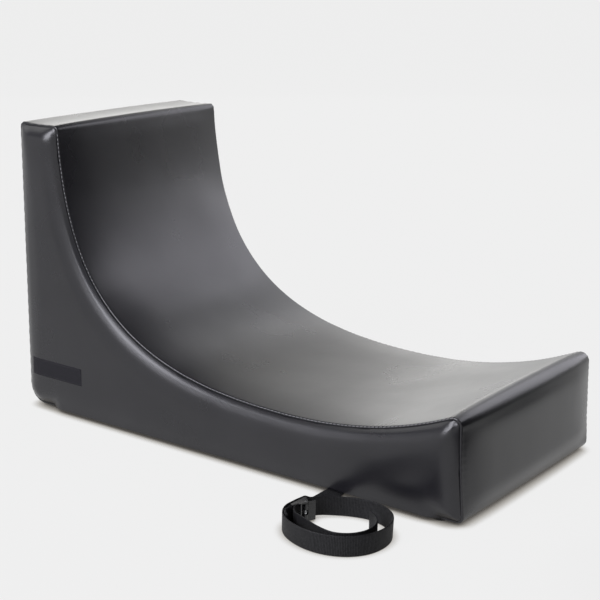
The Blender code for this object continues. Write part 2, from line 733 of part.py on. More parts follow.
def frame_boards(wood, steel):
    """The plywood frame, its battens and its screws."""
    bevel_x, bevel_z = BASE_BEVEL
    base = outline_plate("base_board", [
        (BACK_BOARD_X, BASE_TOP), (BACK_BOARD_X, INNER_Z + bevel_z),
        (BACK_BOARD_X + bevel_x, INNER_Z), (FRONT_BOARD_X, INNER_Z),
        (FRONT_BOARD_X, BASE_TOP)], -FRAME_Y, FRAME_Y, wood)
    high = TOP_FOAM_Z - GAP
    back = box("back_board", (BACK_BOARD_X, -FRAME_Y, RIB_FOOT),
               (BACK_BOARD_X + PLY, FRAME_Y, high), wood)
    deck_top = deck_line(DECK_DEPTH, high)
    deck_under = deck_line(DECK_DEPTH + DECK, high)
    outline_plate("arc_deck", deck_top + deck_under[::-1], -FRAME_Y, FRAME_Y, wood)
    front = box("front_board", (FRONT_BOARD_X - PLY, -FRAME_Y, RIB_FOOT),
                (FRONT_BOARD_X, FRAME_Y, deck_top[-1][1]), wood)
    rib_back = BACK_BOARD_X + PLY + GAP
    top = box("top_board", (rib_back, -FRAME_Y, high - PLY),
              (deck_under[0][0] - GAP, FRAME_Y, high), wood)
    rib_high = high - PLY - GAP
    rib_line = deck_line(RIB_DEPTH, rib_high)
    outline = [(rib_back, RIB_FOOT), (rib_back, rib_high)] + rib_line + [(rib_line[-1][0], RIB_FOOT)]
    rib_middle = FRAME_Y - PLY / 2
    ribs = {}
    for name, side in RIBS.items():
        ribs[name] = outline_plate(name, outline, side * rib_middle - PLY / 2,
                                   side * rib_middle + PLY / 2, wood)
    reach = rib_middle - PLY / 2 - GAP
    for name, (from_back, height) in BATTENS.items():
        x = rib_back if from_back is None else BACK_X + from_back
        z = RIB_FOOT if height is None else height
        low = Vector((x, -reach, z))
        high_corner = Vector((x + BATTEN_DEPTH, reach, z + BATTEN_HEIGHT))
        box(name, low, high_corner, wood)
        room = Vector((GAP, -PLY, GAP))
        notch = as_cutter(box(name + "_notch", low - room, high_corner + room, None,
                              collection=CUTTERS))
        cut(ribs["center_rib"], notch)
    places = []
    for side in RIBS.values():
        y = side * rib_middle
        places += [((BACK_X + x, y, INNER_Z), (0, 0, 1)) for x in BASE_SCREWS]
        places += [((BACK_BOARD_X, y, z), (1, 0, 0)) for z in BACK_SCREWS]
        places.append(((rib_back + FRAME_SCREW[0] * 2, y, high), (0, 0, -1)))
        places.append(((FRONT_BOARD_X, y, FRONT_SCREW_HEIGHT), (-1, 0, 0)))
    screws("frame_screw", FRAME_SCREW, places, steel)
    holes = screw_holes("frame_screw_holes", FRAME_SCREW, places)
    for piece in (base, back, top, front, *ribs.values()):
        cut(piece, holes)
    return base


def rounded(points, radius, steps=3):
    """A closed outline with its corners rounded."""
    made = []
    count = len(points)
    for i, at in enumerate(points):
        at = Vector(at)
        before = (Vector(points[i - 1]) - at).normalized()
        after = (Vector(points[(i + 1) % count]) - at).normalized()
        for step in range(steps + 1):
            share = step / steps
            start = at + before * radius
            end = at + after * radius
            made.append(tuple(start * (1 - share) ** 2 + at * 2 * share * (1 - share)
                              + end * share ** 2))
    return made


def base_pad(look):
    """The non-slip sheet under the base, notched where the strap comes out."""
    reach = SIDE_Y - PAD_SIDE_INSET
    back = BACK_X + PAD_BACK_INSET
    front = TOE_X - PAD_FRONT_INSET
    outline = rounded([(back, -reach), (front, -reach), (front, reach), (back, reach)], PAD_CORNER)
    pad = outline_plate("base_pad", outline, 0.0, PAD, look, upright=False)
    inner_end = max(beside(ANCHOR_AT[1]) + ANCHOR_SIZE[1] / 2, beside(STRAP_ROUTE[0][1])) + 2 * GAP
    notch = box("pad_notch", (ANCHOR_AT[0] - NOTCH_WIDTH / 2, -reach - PAD, -PAD),
                (ANCHOR_AT[0] + NOTCH_WIDTH / 2, inner_end, 2 * PAD), None, collection=CUTTERS)
    cut(pad, as_cutter(notch))
    return pad


def label_tag(path, look):
    """The bare woven tag, lying on the near side panel."""
    xs = np.linspace(BACK_X + TAG_BACK_INSET, BACK_X + TAG_BACK_INSET + TAG_LENGTH, 9)
    zs = np.linspace(TAG_BOTTOM, TAG_BOTTOM + TAG_HEIGHT, 4)
    spots = [(x, z) for x in xs for z in zs]
    bulge = side_bulge(path, spots)
    inner = [(x, -SIDE_Y - b - GAP, z) for (x, z), b in zip(spots, bulge)]
    outer = [(x, y - TAG_THICKNESS, z) for x, y, z in inner]
    rows = len(zs)
    faces = [(i * rows + j, i * rows + j + 1, (i + 1) * rows + j + 1, (i + 1) * rows + j)
             for i in range(len(xs) - 1) for j in range(rows - 1)]
    return skin_body("label_tag", outer, inner, faces, look)


def beside(out):
    """The y of a place at a distance out from the near side."""
    return -SIDE_Y - out


def smooth_route(points, steps):
    """A centripetal Catmull-Rom curve through the route's points."""
    spots = [np.array(point, float) for point in points]
    spots = [2 * spots[0] - spots[1]] + spots + [2 * spots[-1] - spots[-2]]
    made = []
    for p0, p1, p2, p3 in zip(spots, spots[1:], spots[2:], spots[3:]):
        t1 = math.sqrt(np.linalg.norm((p1 - p0)[:2]))
        t2 = t1 + math.sqrt(np.linalg.norm((p2 - p1)[:2]))
        t3 = t2 + math.sqrt(np.linalg.norm((p3 - p2)[:2]))
        for i in range(steps):
            t = t1 + (t2 - t1) * i / steps
            a1 = ((t1 - t) * p0 + t * p1) / t1
            a2 = ((t2 - t) * p1 + (t - t1) * p2) / (t2 - t1)
            a3 = ((t3 - t) * p2 + (t - t2) * p3) / (t3 - t2)
            b1 = ((t2 - t) * a1 + t * a2) / t2
            b2 = ((t3 - t) * a2 + (t - t1) * a3) / (t3 - t1)
            made.append(((t2 - t) * b1 + (t - t1) * b2) / (t2 - t1))
    made.append(spots[-2])
    return np.array(made)


def strap_sections(route, steps):
    """The centre line of the webbing and its rectangular sections."""
    curve = smooth_route(route, steps)
    along = np.gradient(curve[:, :2], axis=0)
    along /= np.linalg.norm(along, axis=1)[:, None]
    tilt = np.radians(curve[:, 3])[:, None]
    flat = np.stack([along[:, 1], -along[:, 0]], axis=1)
    across = np.hstack([flat * np.cos(tilt), np.sin(tilt)])
    centre = np.hstack([curve[:, :2], curve[:, 2:3] + WEBBING_WIDTH / 2 * np.sin(tilt)])
    travel = np.gradient(centre, axis=0)
    off = np.cross(travel, across)
    off /= np.linalg.norm(off, axis=1)[:, None]
    half = across * WEBBING_WIDTH / 2
    thick = off * WEBBING / 2
    rings = np.stack([centre + half + thick, centre + half - thick,
                      centre - half - thick, centre - half + thick], axis=1)
    return centre, rings


def least_self_gap(centre, skip, across):
    """The least clear distance between stretches of a line more than skip apart along it."""
    run = np.concatenate([[0.0], np.cumsum(np.linalg.norm(np.diff(centre, axis=0), axis=1))])
    apart = np.linalg.norm(centre[:, None] - centre[None], axis=2)
    apart[np.abs(run[:, None] - run[None]) < skip] = np.inf
    return apart.min() - across, run[-1]


def strap(look):
    """The webbing, from under its anchor plate to its free end."""
    route = [(x, beside(out), z, tilt) for x, out, z, tilt in STRAP_ROUTE]
    centre, rings = strap_sections(route, STRAP_STEPS)
    gap, length = least_self_gap(centre[:, :2], 3 * WEBBING_WIDTH, WEBBING)
    print(f"strap length {length * 1000:.0f} mm, least gap to itself {gap * 1000:.1f} mm")
    return loft("strap_webbing", rings, look)


def offset_line(points, depth):
    """An open line moved square to itself."""
    line = np.array(points)
    along = np.gradient(line, axis=0)
    along /= np.linalg.norm(along, axis=1)[:, None]
    return line + np.stack([along[:, 1], -along[:, 0]], axis=1) * depth


def ribbon_outline(line, thickness):
    """A closed outline round an open line, half the thickness each way."""
    side = offset_line(line, thickness / 2)
    other = offset_line(line, -thickness / 2)
    return [tuple(point) for point in side] + [tuple(point) for point in other[::-1]]


def buckle_tab(parent, look):
    """The short webbing loop that is sewn to the strap and holds the buckle's bar."""
    bar_u, bar_thick = TAB_BAR
    plate_low = PLATE_TOP - BACK_PLATE
    room = GAP + TAB / 2
    inner_u = bar_u - room
    outer_u = BUCKLE_HALF_LENGTH + room
    low = plate_low - room
    high = plate_low + bar_thick + room
    centre = Vector(((inner_u + outer_u) / 2, (low + high) / 2))
    leg = [Vector(point) for point in TAB_LEG]
    half = TAB / 2 + GAP / 2
    legs = smooth_route([(*point, 0) for point in leg], 3)[:, :2]
    one = offset_line(legs, half)
    two = offset_line(legs, -half)
    loop = [(outer_u, high), (bar_u, high), (inner_u, centre.y), (bar_u, low), (outer_u, low)]
    line = [tuple(p) for p in one] + loop + [tuple(p) for p in two[::-1]]
    return outline_plate("buckle_tab", ribbon_outline(line, TAB), -WEBBING_WIDTH / 2,
                         WEBBING_WIDTH / 2, look, upright=False, parent=parent)


def strap_anchor(base, right_cover, webbing, steel):
    """The plate and screws that hold the strap's end to the base board."""
    x = ANCHOR_AT[0]
    y = beside(ANCHOR_AT[1])
    length, depth, thick = ANCHOR_SIZE
    top = STRAP_ROUTE[0][2] - WEBBING / 2 - GAP
    plate = box("strap_anchor_plate", (x - length / 2, y - depth / 2, top - thick),
                (x + length / 2, y + depth / 2, top), steel)
    places = [((x + side * ANCHOR_PITCH / 2, y, top - thick), (0, 0, 1)) for side in (-1, 1)]
    screws("strap_anchor_screw", ANCHOR_SCREW, places, steel)
    holes = screw_holes("anchor_screw_holes", ANCHOR_SCREW, places)
    for piece in (plate, webbing, right_cover, base):
        cut(piece, holes)


def around(centre, radius, start, end, steps):
    """Points on an arc, in degrees."""
    made = []
    for i in range(steps + 1):
        angle = math.radians(start + (end - start) * i / steps)
        made.append((centre[0] + radius * math.cos(angle), centre[1] + radius * math.sin(angle)))
    return made


def buckle_frame(parent, look):
    """Two cheeks joined by the back plate, the tab's bar and the bridge over the webbing."""
    half = BUCKLE_HALF_LENGTH
    low = PLATE_TOP - BACK_PLATE
    shoulder = PLATE_TOP + CHEEK / 2
    cheek = [(-half, low), (half, low), (half, shoulder), (half * 0.55, WEBBING * 1.6)]
    cheek += [(BRIDGE[1] + CHEEK / 2, BRIDGE[3] + CHEEK / 4)]
    cheek += around(PIN_AT, BOSS_RADIUS, 60, 150, 6)
    cheek += [(-half * 0.86, WEBBING), (-half, shoulder)]
    inner = CHEEK_INNER
    outer = CHEEK_INNER + CHEEK
    frame = outline_plate("buckle_frame", cheek, inner, outer, look, False, parent)
    joins = [outline_plate("low_cheek", cheek, -outer, -inner, None, False, parent, CUTTERS)]
    overlap = inner + CHEEK / 2
    for name, (u0, u1, w0, w1) in {
            "back_plate": (-half, BACK_PLATE_END, low, PLATE_TOP),
            "tab_bar": (TAB_BAR[0], half, low, low + TAB_BAR[1]),
            "bridge_bar": BRIDGE}.items():
        inset = CHEEK / 20
        joins.append(box(name, (u0 + inset, w0 + inset, -overlap), (u1 - inset, w1, overlap), None,
                         parent, CUTTERS))
    for piece in joins:
        cut(frame, as_cutter(piece), 'UNION')
    return frame


def lever_outline():
    """The cam lever from the side: teeth, hub and thumb tail."""
    first, last = TOOTH_SPAN
    made = []
    for i in range(TEETH):
        tip = first + (last - first) * (i + 0.25) / TEETH
        root = first + (last - first) * (i + 1.0) / TEETH
        made += around(PIN_AT, TOOTH_RADIUS, tip, tip, 1)[:1]
        made += around(PIN_AT, TOOTH_RADIUS - TOOTH_DEPTH, root, root, 1)[:1]
    made += around(PIN_AT, HUB_RADIUS, last + 30, TAIL_ANGLE - 30, 6)
    along = Vector((math.cos(math.radians(TAIL_ANGLE)), math.sin(math.radians(TAIL_ANGLE))))
    over = Vector((along.y, -along.x))
    hub = Vector(PIN_AT)
    made.append(tuple(hub + along * HUB_RADIUS * 1.3 + over * TAIL_OVER))
    tip = hub + along * TAIL_LENGTH
    made.append(tuple(tip - along * TAIL_OVER + over * TAIL_OVER))
    made.append(tuple(tip + over * (TAIL_OVER - TAIL_UNDER) / 2))
    made.append(tuple(tip - along * TAIL_OVER - over * TAIL_UNDER))
    made.append(tuple(hub + along * HUB_RADIUS * 1.1 - over * TAIL_UNDER))
    made += around(PIN_AT, HUB_RADIUS, TAIL_ANGLE + 45, 360 + first - 22, 4)
    return made


def pin_rod(name, radius, reach, parent, look, collection=COLLECTION):
    """A rod on the lever's axis."""
    shape = bmesh.new()
    place = Matrix.Translation((PIN_AT[0], PIN_AT[1], 0))
    bmesh.ops.create_cone(shape, cap_ends=True, segments=16, radius1=radius, radius2=radius,
                          depth=2 * reach, matrix=place)
    return mesh_object(name, shape, look, parent, collection)


def cam_buckle(plastic, steel):
    """The buckle: frame, lever, pin and return spring, under an empty at the webbing."""
    stand = bpy.data.objects.new("buckle_place", None)
    COLLECTION.objects.link(stand)
    x, out, height = BUCKLE_AT
    place = Matrix.Translation((x, beside(out), height))
    stand.matrix_world = place @ Matrix.Rotation(-math.pi / 2, 4, 'Z')
    frame = buckle_frame(stand, plastic)
    reach = CHEEK_INNER - LEVER_PLAY
    lever = outline_plate("buckle_lever", lever_outline(), -reach, reach, plastic, False, stand)
    bore = as_cutter(pin_rod("pin_bore", PIN_RADIUS + PIN_PLAY, 2 * CHEEK_INNER, stand, None, CUTTERS))
    pocket = as_cutter(box("spring_pocket", (PIN_AT[0] - POCKET_RADIUS, -PIN_AT[1], -POCKET_HALF),
                           (PIN_AT[0] + 2 * TOOTH_RADIUS, PIN_AT[1] + POCKET_RADIUS, POCKET_HALF),
                           None, stand, CUTTERS))
    cut(frame, bore)
    cut(lever, bore)
    cut(lever, pocket)
    pin_rod("buckle_pin", PIN_RADIUS, CHEEK_INNER + CHEEK, stand, steel)
    buckle_spring(stand, steel)
    return stand


def buckle_spring(parent, look):
    """A torsion spring round the pin: one leg under the tail, the other under the bridge."""
    start = math.radians(TAIL_ANGLE + 90)
    end = math.radians(270) + 2 * math.pi * SPRING_TURNS
    steps = int(SPRING_POINTS * (end - start) / (2 * math.pi)) + 1
    rise = SPRING_PITCH * (end - start) / (2 * math.pi)
    hub = Vector((PIN_AT[0], PIN_AT[1], 0))
    coil = []
    for i in range(steps + 1):
        angle = start + (end - start) * i / steps
        coil.append(hub + Vector((SPRING_RADIUS * math.cos(angle), SPRING_RADIUS * math.sin(angle),
                                  rise * (i / steps - 0.5))))
    back = Vector((math.cos(math.radians(TAIL_ANGLE)), math.sin(math.radians(TAIL_ANGLE)), 0))
    points = [coil[0] + back * TAIL_LENGTH * 0.45] + coil
    points.append(Vector((BRIDGE[1], coil[-1].y, coil[-1].z)))
    gap, _ = least_self_gap(np.array(coil), math.pi * SPRING_RADIUS, 2 * SPRING_WIRE)
    print(f"spring turns {SPRING_TURNS}, least gap to itself {gap * 1000:.2f} mm")
    curve = bpy.data.curves.new("buckle_spring", 'CURVE')
    curve.dimensions = '3D'
    curve.bevel_depth = SPRING_WIRE
    curve.bevel_resolution = 1
    curve.use_fill_caps = True
    line = curve.splines.new('POLY')
    line.points.add(len(points) - 1)
    for point, spot in zip(line.points, points):
        point.co = (*spot, 1.0)
    return add_object("buckle_spring", curve, look, parent)


def build():
    """Model the whole arc."""
    start_scene()
    vinyl = material("black_vinyl", (0.045, 0.045, 0.048), 0.45)
    foam = material("foam", (0.62, 0.60, 0.52), 0.95)
    wood = material("birch_plywood", (0.62, 0.45, 0.28), 0.6)
    rubber = material("pad_rubber", (0.02, 0.02, 0.02), 0.85)
    woven = material("black_webbing", (0.02, 0.02, 0.022), 0.8)
    plastic = material("black_acetal", (0.012, 0.012, 0.013), 0.25)
    steel = material("zinc_steel", (0.55, 0.56, 0.58), 0.35, 1.0)
    path = seam_path()
    main_cover(path, vinyl)
    side_cover("left_side_cover", 1, path, vinyl)
    right_cover = side_cover("right_side_cover", -1, path, vinyl)
    foams(path, foam)
    base = frame_boards(wood, steel)
    base_pad(rubber)
    label_tag(path, woven)
    webbing = strap(woven)
    strap_anchor(base, right_cover, webbing, steel)
    stand = cam_buckle(plastic, steel)
    buckle_tab(stand, woven)
    bpy.context.view_layer.update()
    pin = stand.matrix_world @ Vector((*PIN_AT, 0.0))
    print("lever axis through", tuple(round(value, 5) for value in pin))
    print("lever travel", LEVER_TRAVEL, "degrees")


build()
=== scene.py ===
"""Looks for the pilates arc: sewn vinyl covers, tag, ribbed strap, materials, light and camera.

Metres, +Z up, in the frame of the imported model.
"""
import json
import math

import bmesh
import bpy
import numpy as np
from mathutils import Matrix, Vector, noise
from mathutils.bvhtree import BVHTree
from mathutils.geometry import delaunay_2d_cdt, interpolate_bezier

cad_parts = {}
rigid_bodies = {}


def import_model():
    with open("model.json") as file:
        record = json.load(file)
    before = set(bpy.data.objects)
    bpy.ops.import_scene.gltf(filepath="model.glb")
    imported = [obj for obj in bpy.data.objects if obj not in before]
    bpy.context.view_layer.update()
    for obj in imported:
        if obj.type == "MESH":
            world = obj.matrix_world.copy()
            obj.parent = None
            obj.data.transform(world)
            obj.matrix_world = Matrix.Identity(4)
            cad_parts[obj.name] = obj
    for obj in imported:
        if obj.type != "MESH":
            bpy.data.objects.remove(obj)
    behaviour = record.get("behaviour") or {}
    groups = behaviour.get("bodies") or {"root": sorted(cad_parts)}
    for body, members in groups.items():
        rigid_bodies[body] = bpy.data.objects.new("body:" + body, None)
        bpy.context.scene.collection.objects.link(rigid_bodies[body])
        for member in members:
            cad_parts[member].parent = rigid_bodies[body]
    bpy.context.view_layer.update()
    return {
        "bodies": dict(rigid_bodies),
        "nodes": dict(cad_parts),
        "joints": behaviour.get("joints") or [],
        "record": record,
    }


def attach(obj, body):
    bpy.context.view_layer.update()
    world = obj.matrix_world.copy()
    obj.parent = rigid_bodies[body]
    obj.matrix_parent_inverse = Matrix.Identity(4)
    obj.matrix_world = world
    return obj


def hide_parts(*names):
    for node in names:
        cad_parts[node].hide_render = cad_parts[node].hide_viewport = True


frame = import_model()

# Camera of the photograph
CAMERA_AT = (1.1806, -1.6192, 0.7268)
CAMERA_RIGHT = (0.80569, 0.59213, 0.01558)
CAMERA_UP = (-0.16505, 0.19916, 0.96597)
LENS = 85.74
SENSOR = 36.0

# Outline of the cover at its seams, as in the solids
LENGTH = 0.768
WIDTH = 0.354
HEIGHT = 0.433
TOP_DEPTH = 0.0765
TOE_HEIGHT = 0.1475
TOE_LEAN = 0.0093
LOW_FROM_BACK = 0.4924
LOW_HEIGHT = 0.0892
HEEL_INSET = 0.0040
UPRIGHT_LEAN = math.radians(2.9)
TOE_SLOPE = math.radians(25.8)
UPRIGHT_REACH = 0.260
KNEE_REACH = 0.264
FLAT_REACH = 0.124
TOE_REACH = 0.067
FOLD_RADIUS = 0.008
LIP_RADIUS = 0.012
HEEL_RADIUS = 0.030
FOOT_RADIUS = 0.010
TUCK = 0.022
SIDE_TUCK = 0.034
DRAW_BACK = 0.0
DRAW_TOP = 0.0010
DRAW_FRONT = 0.0014
PAD = 0.003
GAP = 0.0003
COVER = 0.0012
BACK_X = -LENGTH / 2
HEEL_X = BACK_X + HEEL_INSET
TOE_X = LENGTH / 2
SIDE_Y = WIDTH / 2
COVER_Z = PAD + 2 * GAP

# Padding and seams of the covers: crown over the whole width, and quick rise beside the seams
CROWN_BACK = 0.0022
CROWN_TOP = 0.0012
CROWN_ARC = 0.0020
CROWN_FRONT = 0.0048
FALL_BACK = 0.0010
FALL_TOP = 0.0
FALL_ARC = 0.0018
FALL_FRONT = 0.0056
FALL_WIDTH = 0.045
STRIP_FLAT = SIDE_Y - 0.0038
STRIP_ROLL = 0.0022
SEAM_DEPTH = 0.0040
PANEL_START = SIDE_Y - 0.0013
PANEL_SINK = 0.0030
PANEL_ROLL = 0.029
PANEL_ANGLE = math.radians(51)
PANEL_CROWN = 0.0006
PANEL_SPREAD = 0.030
PANEL_FOLD = 0.0045
PANEL_DRAW = 0.0012
PANEL_DRAW_FADE = 0.012
STITCH_PITCH = 0.006
PUCKER = 0.00030
SEAM_WAVE = 0.0004
SKIN_WAVE = 0.00022

# Points of a side panel: rings beside its seam, then an even grid, then rows round the lower fold
PANEL_RINGS = (0.0005, 0.0011, 0.0019, 0.0029, 0.0041, 0.0055, 0.0072, 0.0092, 0.0115, 0.0145,
               0.0185)
PANEL_GRID = 0.0065
PANEL_GRID_START = 0.0215
PANEL_DROPS = (-0.0022, 0.0, 0.0014, 0.0028, 0.0042, 0.0056)

# Cloth simulation of the covers: pressure under them, frames, and the most that a point may move
PRESSURE = 4.0
CLOTH_FRAMES = 16
CLOTH_CAP = 0.0010
CLOTH_BENDING = 4.0
PULL_WIDTH = 0.045
CREASES = 0.06
PIN_WIDTH = 0.007

# How far the far edge lies out from the solids' edge, by place: x, z and distance
FAR_SHIFTS = ((-0.384, 0.05, 0.0), (-0.384, 0.25, 0.0), (-0.384, 0.434, 0.0005),
              (-0.345, 0.434, 0.001), (-0.308, 0.434, 0.0025), (-0.300, 0.36, 0.003),
              (-0.285, 0.29, 0.001),
              (-0.24, 0.215, 0.0), (-0.17, 0.155, 0.0), (-0.08, 0.115, 0.0),
              (0.05, 0.092, 0.0), (0.20, 0.098, 0.0), (0.29, 0.118, 0.001), (0.365, 0.143, 0.006),
              (0.384, 0.125, 0.008), (0.384, 0.080, 0.007), (0.384, 0.040, 0.003),
              (0.380, 0.004, 0.0), (0.25, 0.004, 0.0), (0.0, 0.004, 0.0))

# Stitches along the arc's seams: thread radius, length of one, and their place on the strip's roll
THREAD = 0.00040
STITCH = 0.0040
# Below TIGHT_BELOW the stitches are longer than their pitch and join into one light grey line, a
# painted glint of the strip's edge.
GLINT_LINE_STITCH = 0.0064
TIGHT_BELOW = 0.205
# Radius of the dark capsules that paint the shade of the needle holes above TIGHT_BELOW.
HOLE_SHADE = 0.00055
STITCH_ANGLE = math.radians(52)

# Bare woven tag on the near side
TAG_BACK_INSET = 0.0225
TAG_BOTTOM = 0.0535
TAG_LENGTH = 0.1030
TAG_HEIGHT = 0.0265
TAG_THICKNESS = 0.0006
TAG_EDGE = 0.0006
TAG_SEAM_INSET = 0.0022
TAG_SEAM_DEPTH = 0.00022
TAG_STITCH_PITCH = 0.0030
TAG_STITCH = 0.0022
TAG_THREAD = 0.00022

# Strap, as in the solids: x, distance out from the near side, height of its lower edge, tilt
STRAP_ROUTE = (
    (0.1950, -0.0250, 0.0024, 0), (0.1950, -0.0110, 0.0024, 0), (0.1955, 0.0030, 0.0022, 2),
    (0.1975, 0.0190, 0.0014, 8), (0.2010, 0.0370, 0.0010, 15), (0.2050, 0.0550, 0.0008, 26),
    (0.2065, 0.0710, 0.0006, 46), (0.2045, 0.0870, 0.0003, 76), (0.2015, 0.1040, 0.0003, 90),
    (0.2020, 0.1210, 0.0003, 90), (0.2090, 0.1375, 0.0003, 90), (0.2240, 0.1525, 0.0003, 90),
    (0.2460, 0.1630, 0.0003, 92), (0.2700, 0.1675, 0.0003, 94), (0.2940, 0.1645, 0.0003, 97),
    (0.3160, 0.1530, 0.0003, 99), (0.3310, 0.1340, 0.0003, 99), (0.3370, 0.1100, 0.0003, 95),
    (0.3340, 0.0850, 0.0003, 90), (0.3210, 0.0640, 0.0003, 86), (0.3000, 0.0510, 0.0003, 82),
    (0.2760, 0.0470, 0.0003, 80), (0.2530, 0.0530, 0.0003, 80), (0.2350, 0.0640, 0.0006, 83),
    (0.2210, 0.0780, 0.0014, 88), (0.2142, 0.0930, 0.0021, 90), (0.2140, 0.1030, 0.0022, 90),
    (0.2140, 0.1120, 0.0022, 90), (0.2150, 0.1185, 0.0021, 90), (0.2168, 0.1255, 0.0018, 90),
    (0.2245, 0.1330, 0.0012, 90), (0.2380, 0.1380, 0.0006, 90), (0.2760, 0.1505, 0.0003, 90),
    (0.2960, 0.1515, 0.0003, 90), (0.3120, 0.1430, 0.0003, 92), (0.3220, 0.1270, 0.0003, 92),
    (0.3235, 0.1080, 0.0003, 92), (0.3170, 0.0910, 0.0003, 90), (0.3060, 0.0790, 0.0003, 90),
    (0.2935, 0.0715, 0.0003, 90),
)
WEBBING_WIDTH = 0.025
WEBBING = 0.0014
RIB_PITCH = 0.0019
RIB_HEIGHT = 0.00034

# The tab's route in the buckle's frame, as in the solids
BUCKLE_AT = (0.214, 0.1095, 0.0147)
TAB_LEG = ((0.0388, 0.0092), (0.0336, 0.0033), (0.0266, -0.0023), (0.0205, -0.0031))
TAB_BAR = (0.0122, 0.0014)
BUCKLE_HALF_LENGTH = 0.015
BACK_PLATE = 0.0022
TAB = 0.0010

# Vinyl: the colours and roughness between which it varies, and its grain; webbing's refraction
VINYL_DARK = (0.0068, 0.0066, 0.0088)
VINYL_LIGHT = (0.0105, 0.0102, 0.0125)
VINYL_ROUGHNESS = (0.26, 0.32)
VINYL_GRAIN = 950.0
WOVEN_IOR = 1.28

# Floor: its tone, its own share of it, reach of the painted contact shade, and how far it goes
PAPER = 0.863
FLOOR_GLOW = 0.985
PAINTED_SHADE_REACH = 0.020
FLOOR_REACH = 40.0
BACKDROP_HEIGHT = 11.5
BACKDROP_SIDES = 64

# Studio light: world level, how far the softboxes stand from the height they face, and each one's
# azimuth from +X, elevation, size, strength and colour
WORLD_LEVEL = 0.04
SOFTBOX_DISTANCE = 4.0
SOFTBOX_AIM = 0.15
SOFTBOXES = (
    ("far_left_low", 136, 8, (3.2, 1.1), 1.35, (1.0, 0.99, 0.96)),
    ("far_left_high", 131, 27, (2.6, 1.5), 0.9, (1.0, 0.99, 0.96)),
    ("far_middle", 103, 32, (1.7, 2.2), 1.4, (0.98, 0.98, 1.02)),
    ("far_right", 70, 28, (2.6, 2.6), 2.75, (0.97, 0.96, 1.04)),
    ("front_key", 258, 32, (2.4, 2.4), 10.0, (0.97, 0.97, 1.05)),
    ("left_fill", 188, 34, (2.6, 2.0), 1.6, (1.0, 1.0, 1.0)),
    ("right_fill", 328, 36, (2.0, 1.6), 1.3, (1.0, 1.0, 1.0)),
    ("top_fill", 0, 88, (2.2, 2.2), 0.8, (1.0, 1.0, 1.0)),
)

# Dark mat and standing card right of the paper and out of view, which the glossy vinyl mirrors
MAT = ((0.50, -0.20), (0.50, -0.08), (0.92, 0.33), (2.0, 1.9), (5.0, 5.4), (9.0, 5.0), (9.0, -4.0),
       (0.9, -1.2))
MAT_HEIGHT = 0.045
CARD = ((1.12, 1.40), (1.95, 0.35))
CARD_FOOT = 0.05
CARD_HEIGHT = 1.0


def make_camera():
    """The photograph's camera."""
    data = bpy.data.cameras.new("camera")
    data.lens = LENS
    data.sensor_width = SENSOR
    camera = bpy.data.objects.new("camera", data)
    bpy.context.scene.collection.objects.link(camera)
    right = Vector(CAMERA_RIGHT)
    up = Vector(CAMERA_UP)
    turn = Matrix((right, up, right.cross(up))).transposed()
    camera.matrix_world = Matrix.Translation(CAMERA_AT) @ turn.to_4x4()
    bpy.context.scene.camera = camera


def add_mesh(name, points, faces, look, uvs=None):
    """A smooth-shaded mesh object with outward faces."""
    data = bpy.data.meshes.new(name)
    data.from_pydata([tuple(point) for point in points], [], faces)
    if uvs is not None:
        layer = data.uv_layers.new(name="cut")
        corners = np.empty(len(data.loops), dtype=np.int64)
        data.loops.foreach_get("vertex_index", corners)
        layer.data.foreach_set("uv", np.asarray(uvs, dtype=np.float32)[corners].ravel())
    shape = bmesh.new()
    shape.from_mesh(data)
    bmesh.ops.recalc_face_normals(shape, faces=shape.faces)
    shape.to_mesh(data)
    shape.free()
    data.shade_smooth()
    data.materials.append(look)
    made = bpy.data.objects.new(name, data)
    bpy.context.scene.collection.objects.link(made)
    return made


def settle(piece, pinned, run=None):
    """Let a cover swell on its padding by cloth simulation, held at its seams, and keep the shape.

    Along a run of rows the cover is pulled tight, which leaves only a share of its creases.
    """
    scene = bpy.context.scene
    sheet = piece.copy()
    sheet.data = piece.data.copy()
    scene.collection.objects.link(sheet)
    group = sheet.vertex_groups.new(name="pins")
    group.add([int(i) for i in pinned], 1.0, 'REPLACE')
    cloth = sheet.modifiers.new("cloth", 'CLOTH')
    cloth.point_cache.frame_start = 1
    cloth.point_cache.frame_end = CLOTH_FRAMES
    cloth.settings.vertex_group_mass = "pins"
    cloth.settings.use_pressure = True
    cloth.settings.uniform_pressure_force = PRESSURE
    cloth.settings.bending_stiffness = CLOTH_BENDING
    cloth.settings.effector_weights.gravity = 0.0
    for frame in range(1, CLOTH_FRAMES + 1):
        scene.frame_set(frame)
    done = sheet.evaluated_get(bpy.context.evaluated_depsgraph_get()).to_mesh()
    before = np.empty(len(piece.data.vertices) * 3)
    after = before.copy()
    piece.data.vertices.foreach_get("co", before)
    done.vertices.foreach_get("co", after)
    move = (after - before).reshape(-1, 3)
    size = np.linalg.norm(move, axis=1)
    print(f"{piece.name}: swelled {np.median(size) * 1000:.2f} mm, "
          f"at most {size.max() * 1000:.2f} mm")
    move *= (CLOTH_CAP / np.maximum(size, 1e-9) * np.tanh(size / CLOTH_CAP))[:, None]
    if run is not None:
        rows = move.reshape(len(run), -1)
        tight = smooth(rows, run, PULL_WIDTH)
        move = tight + (rows - tight) * CREASES
    piece.data.vertices.foreach_set("co", before + move.ravel())
    piece.data.update()
    data = sheet.data
    bpy.data.objects.remove(sheet)
    bpy.data.meshes.remove(data)
    scene.frame_set(1)


# Outline of the cover

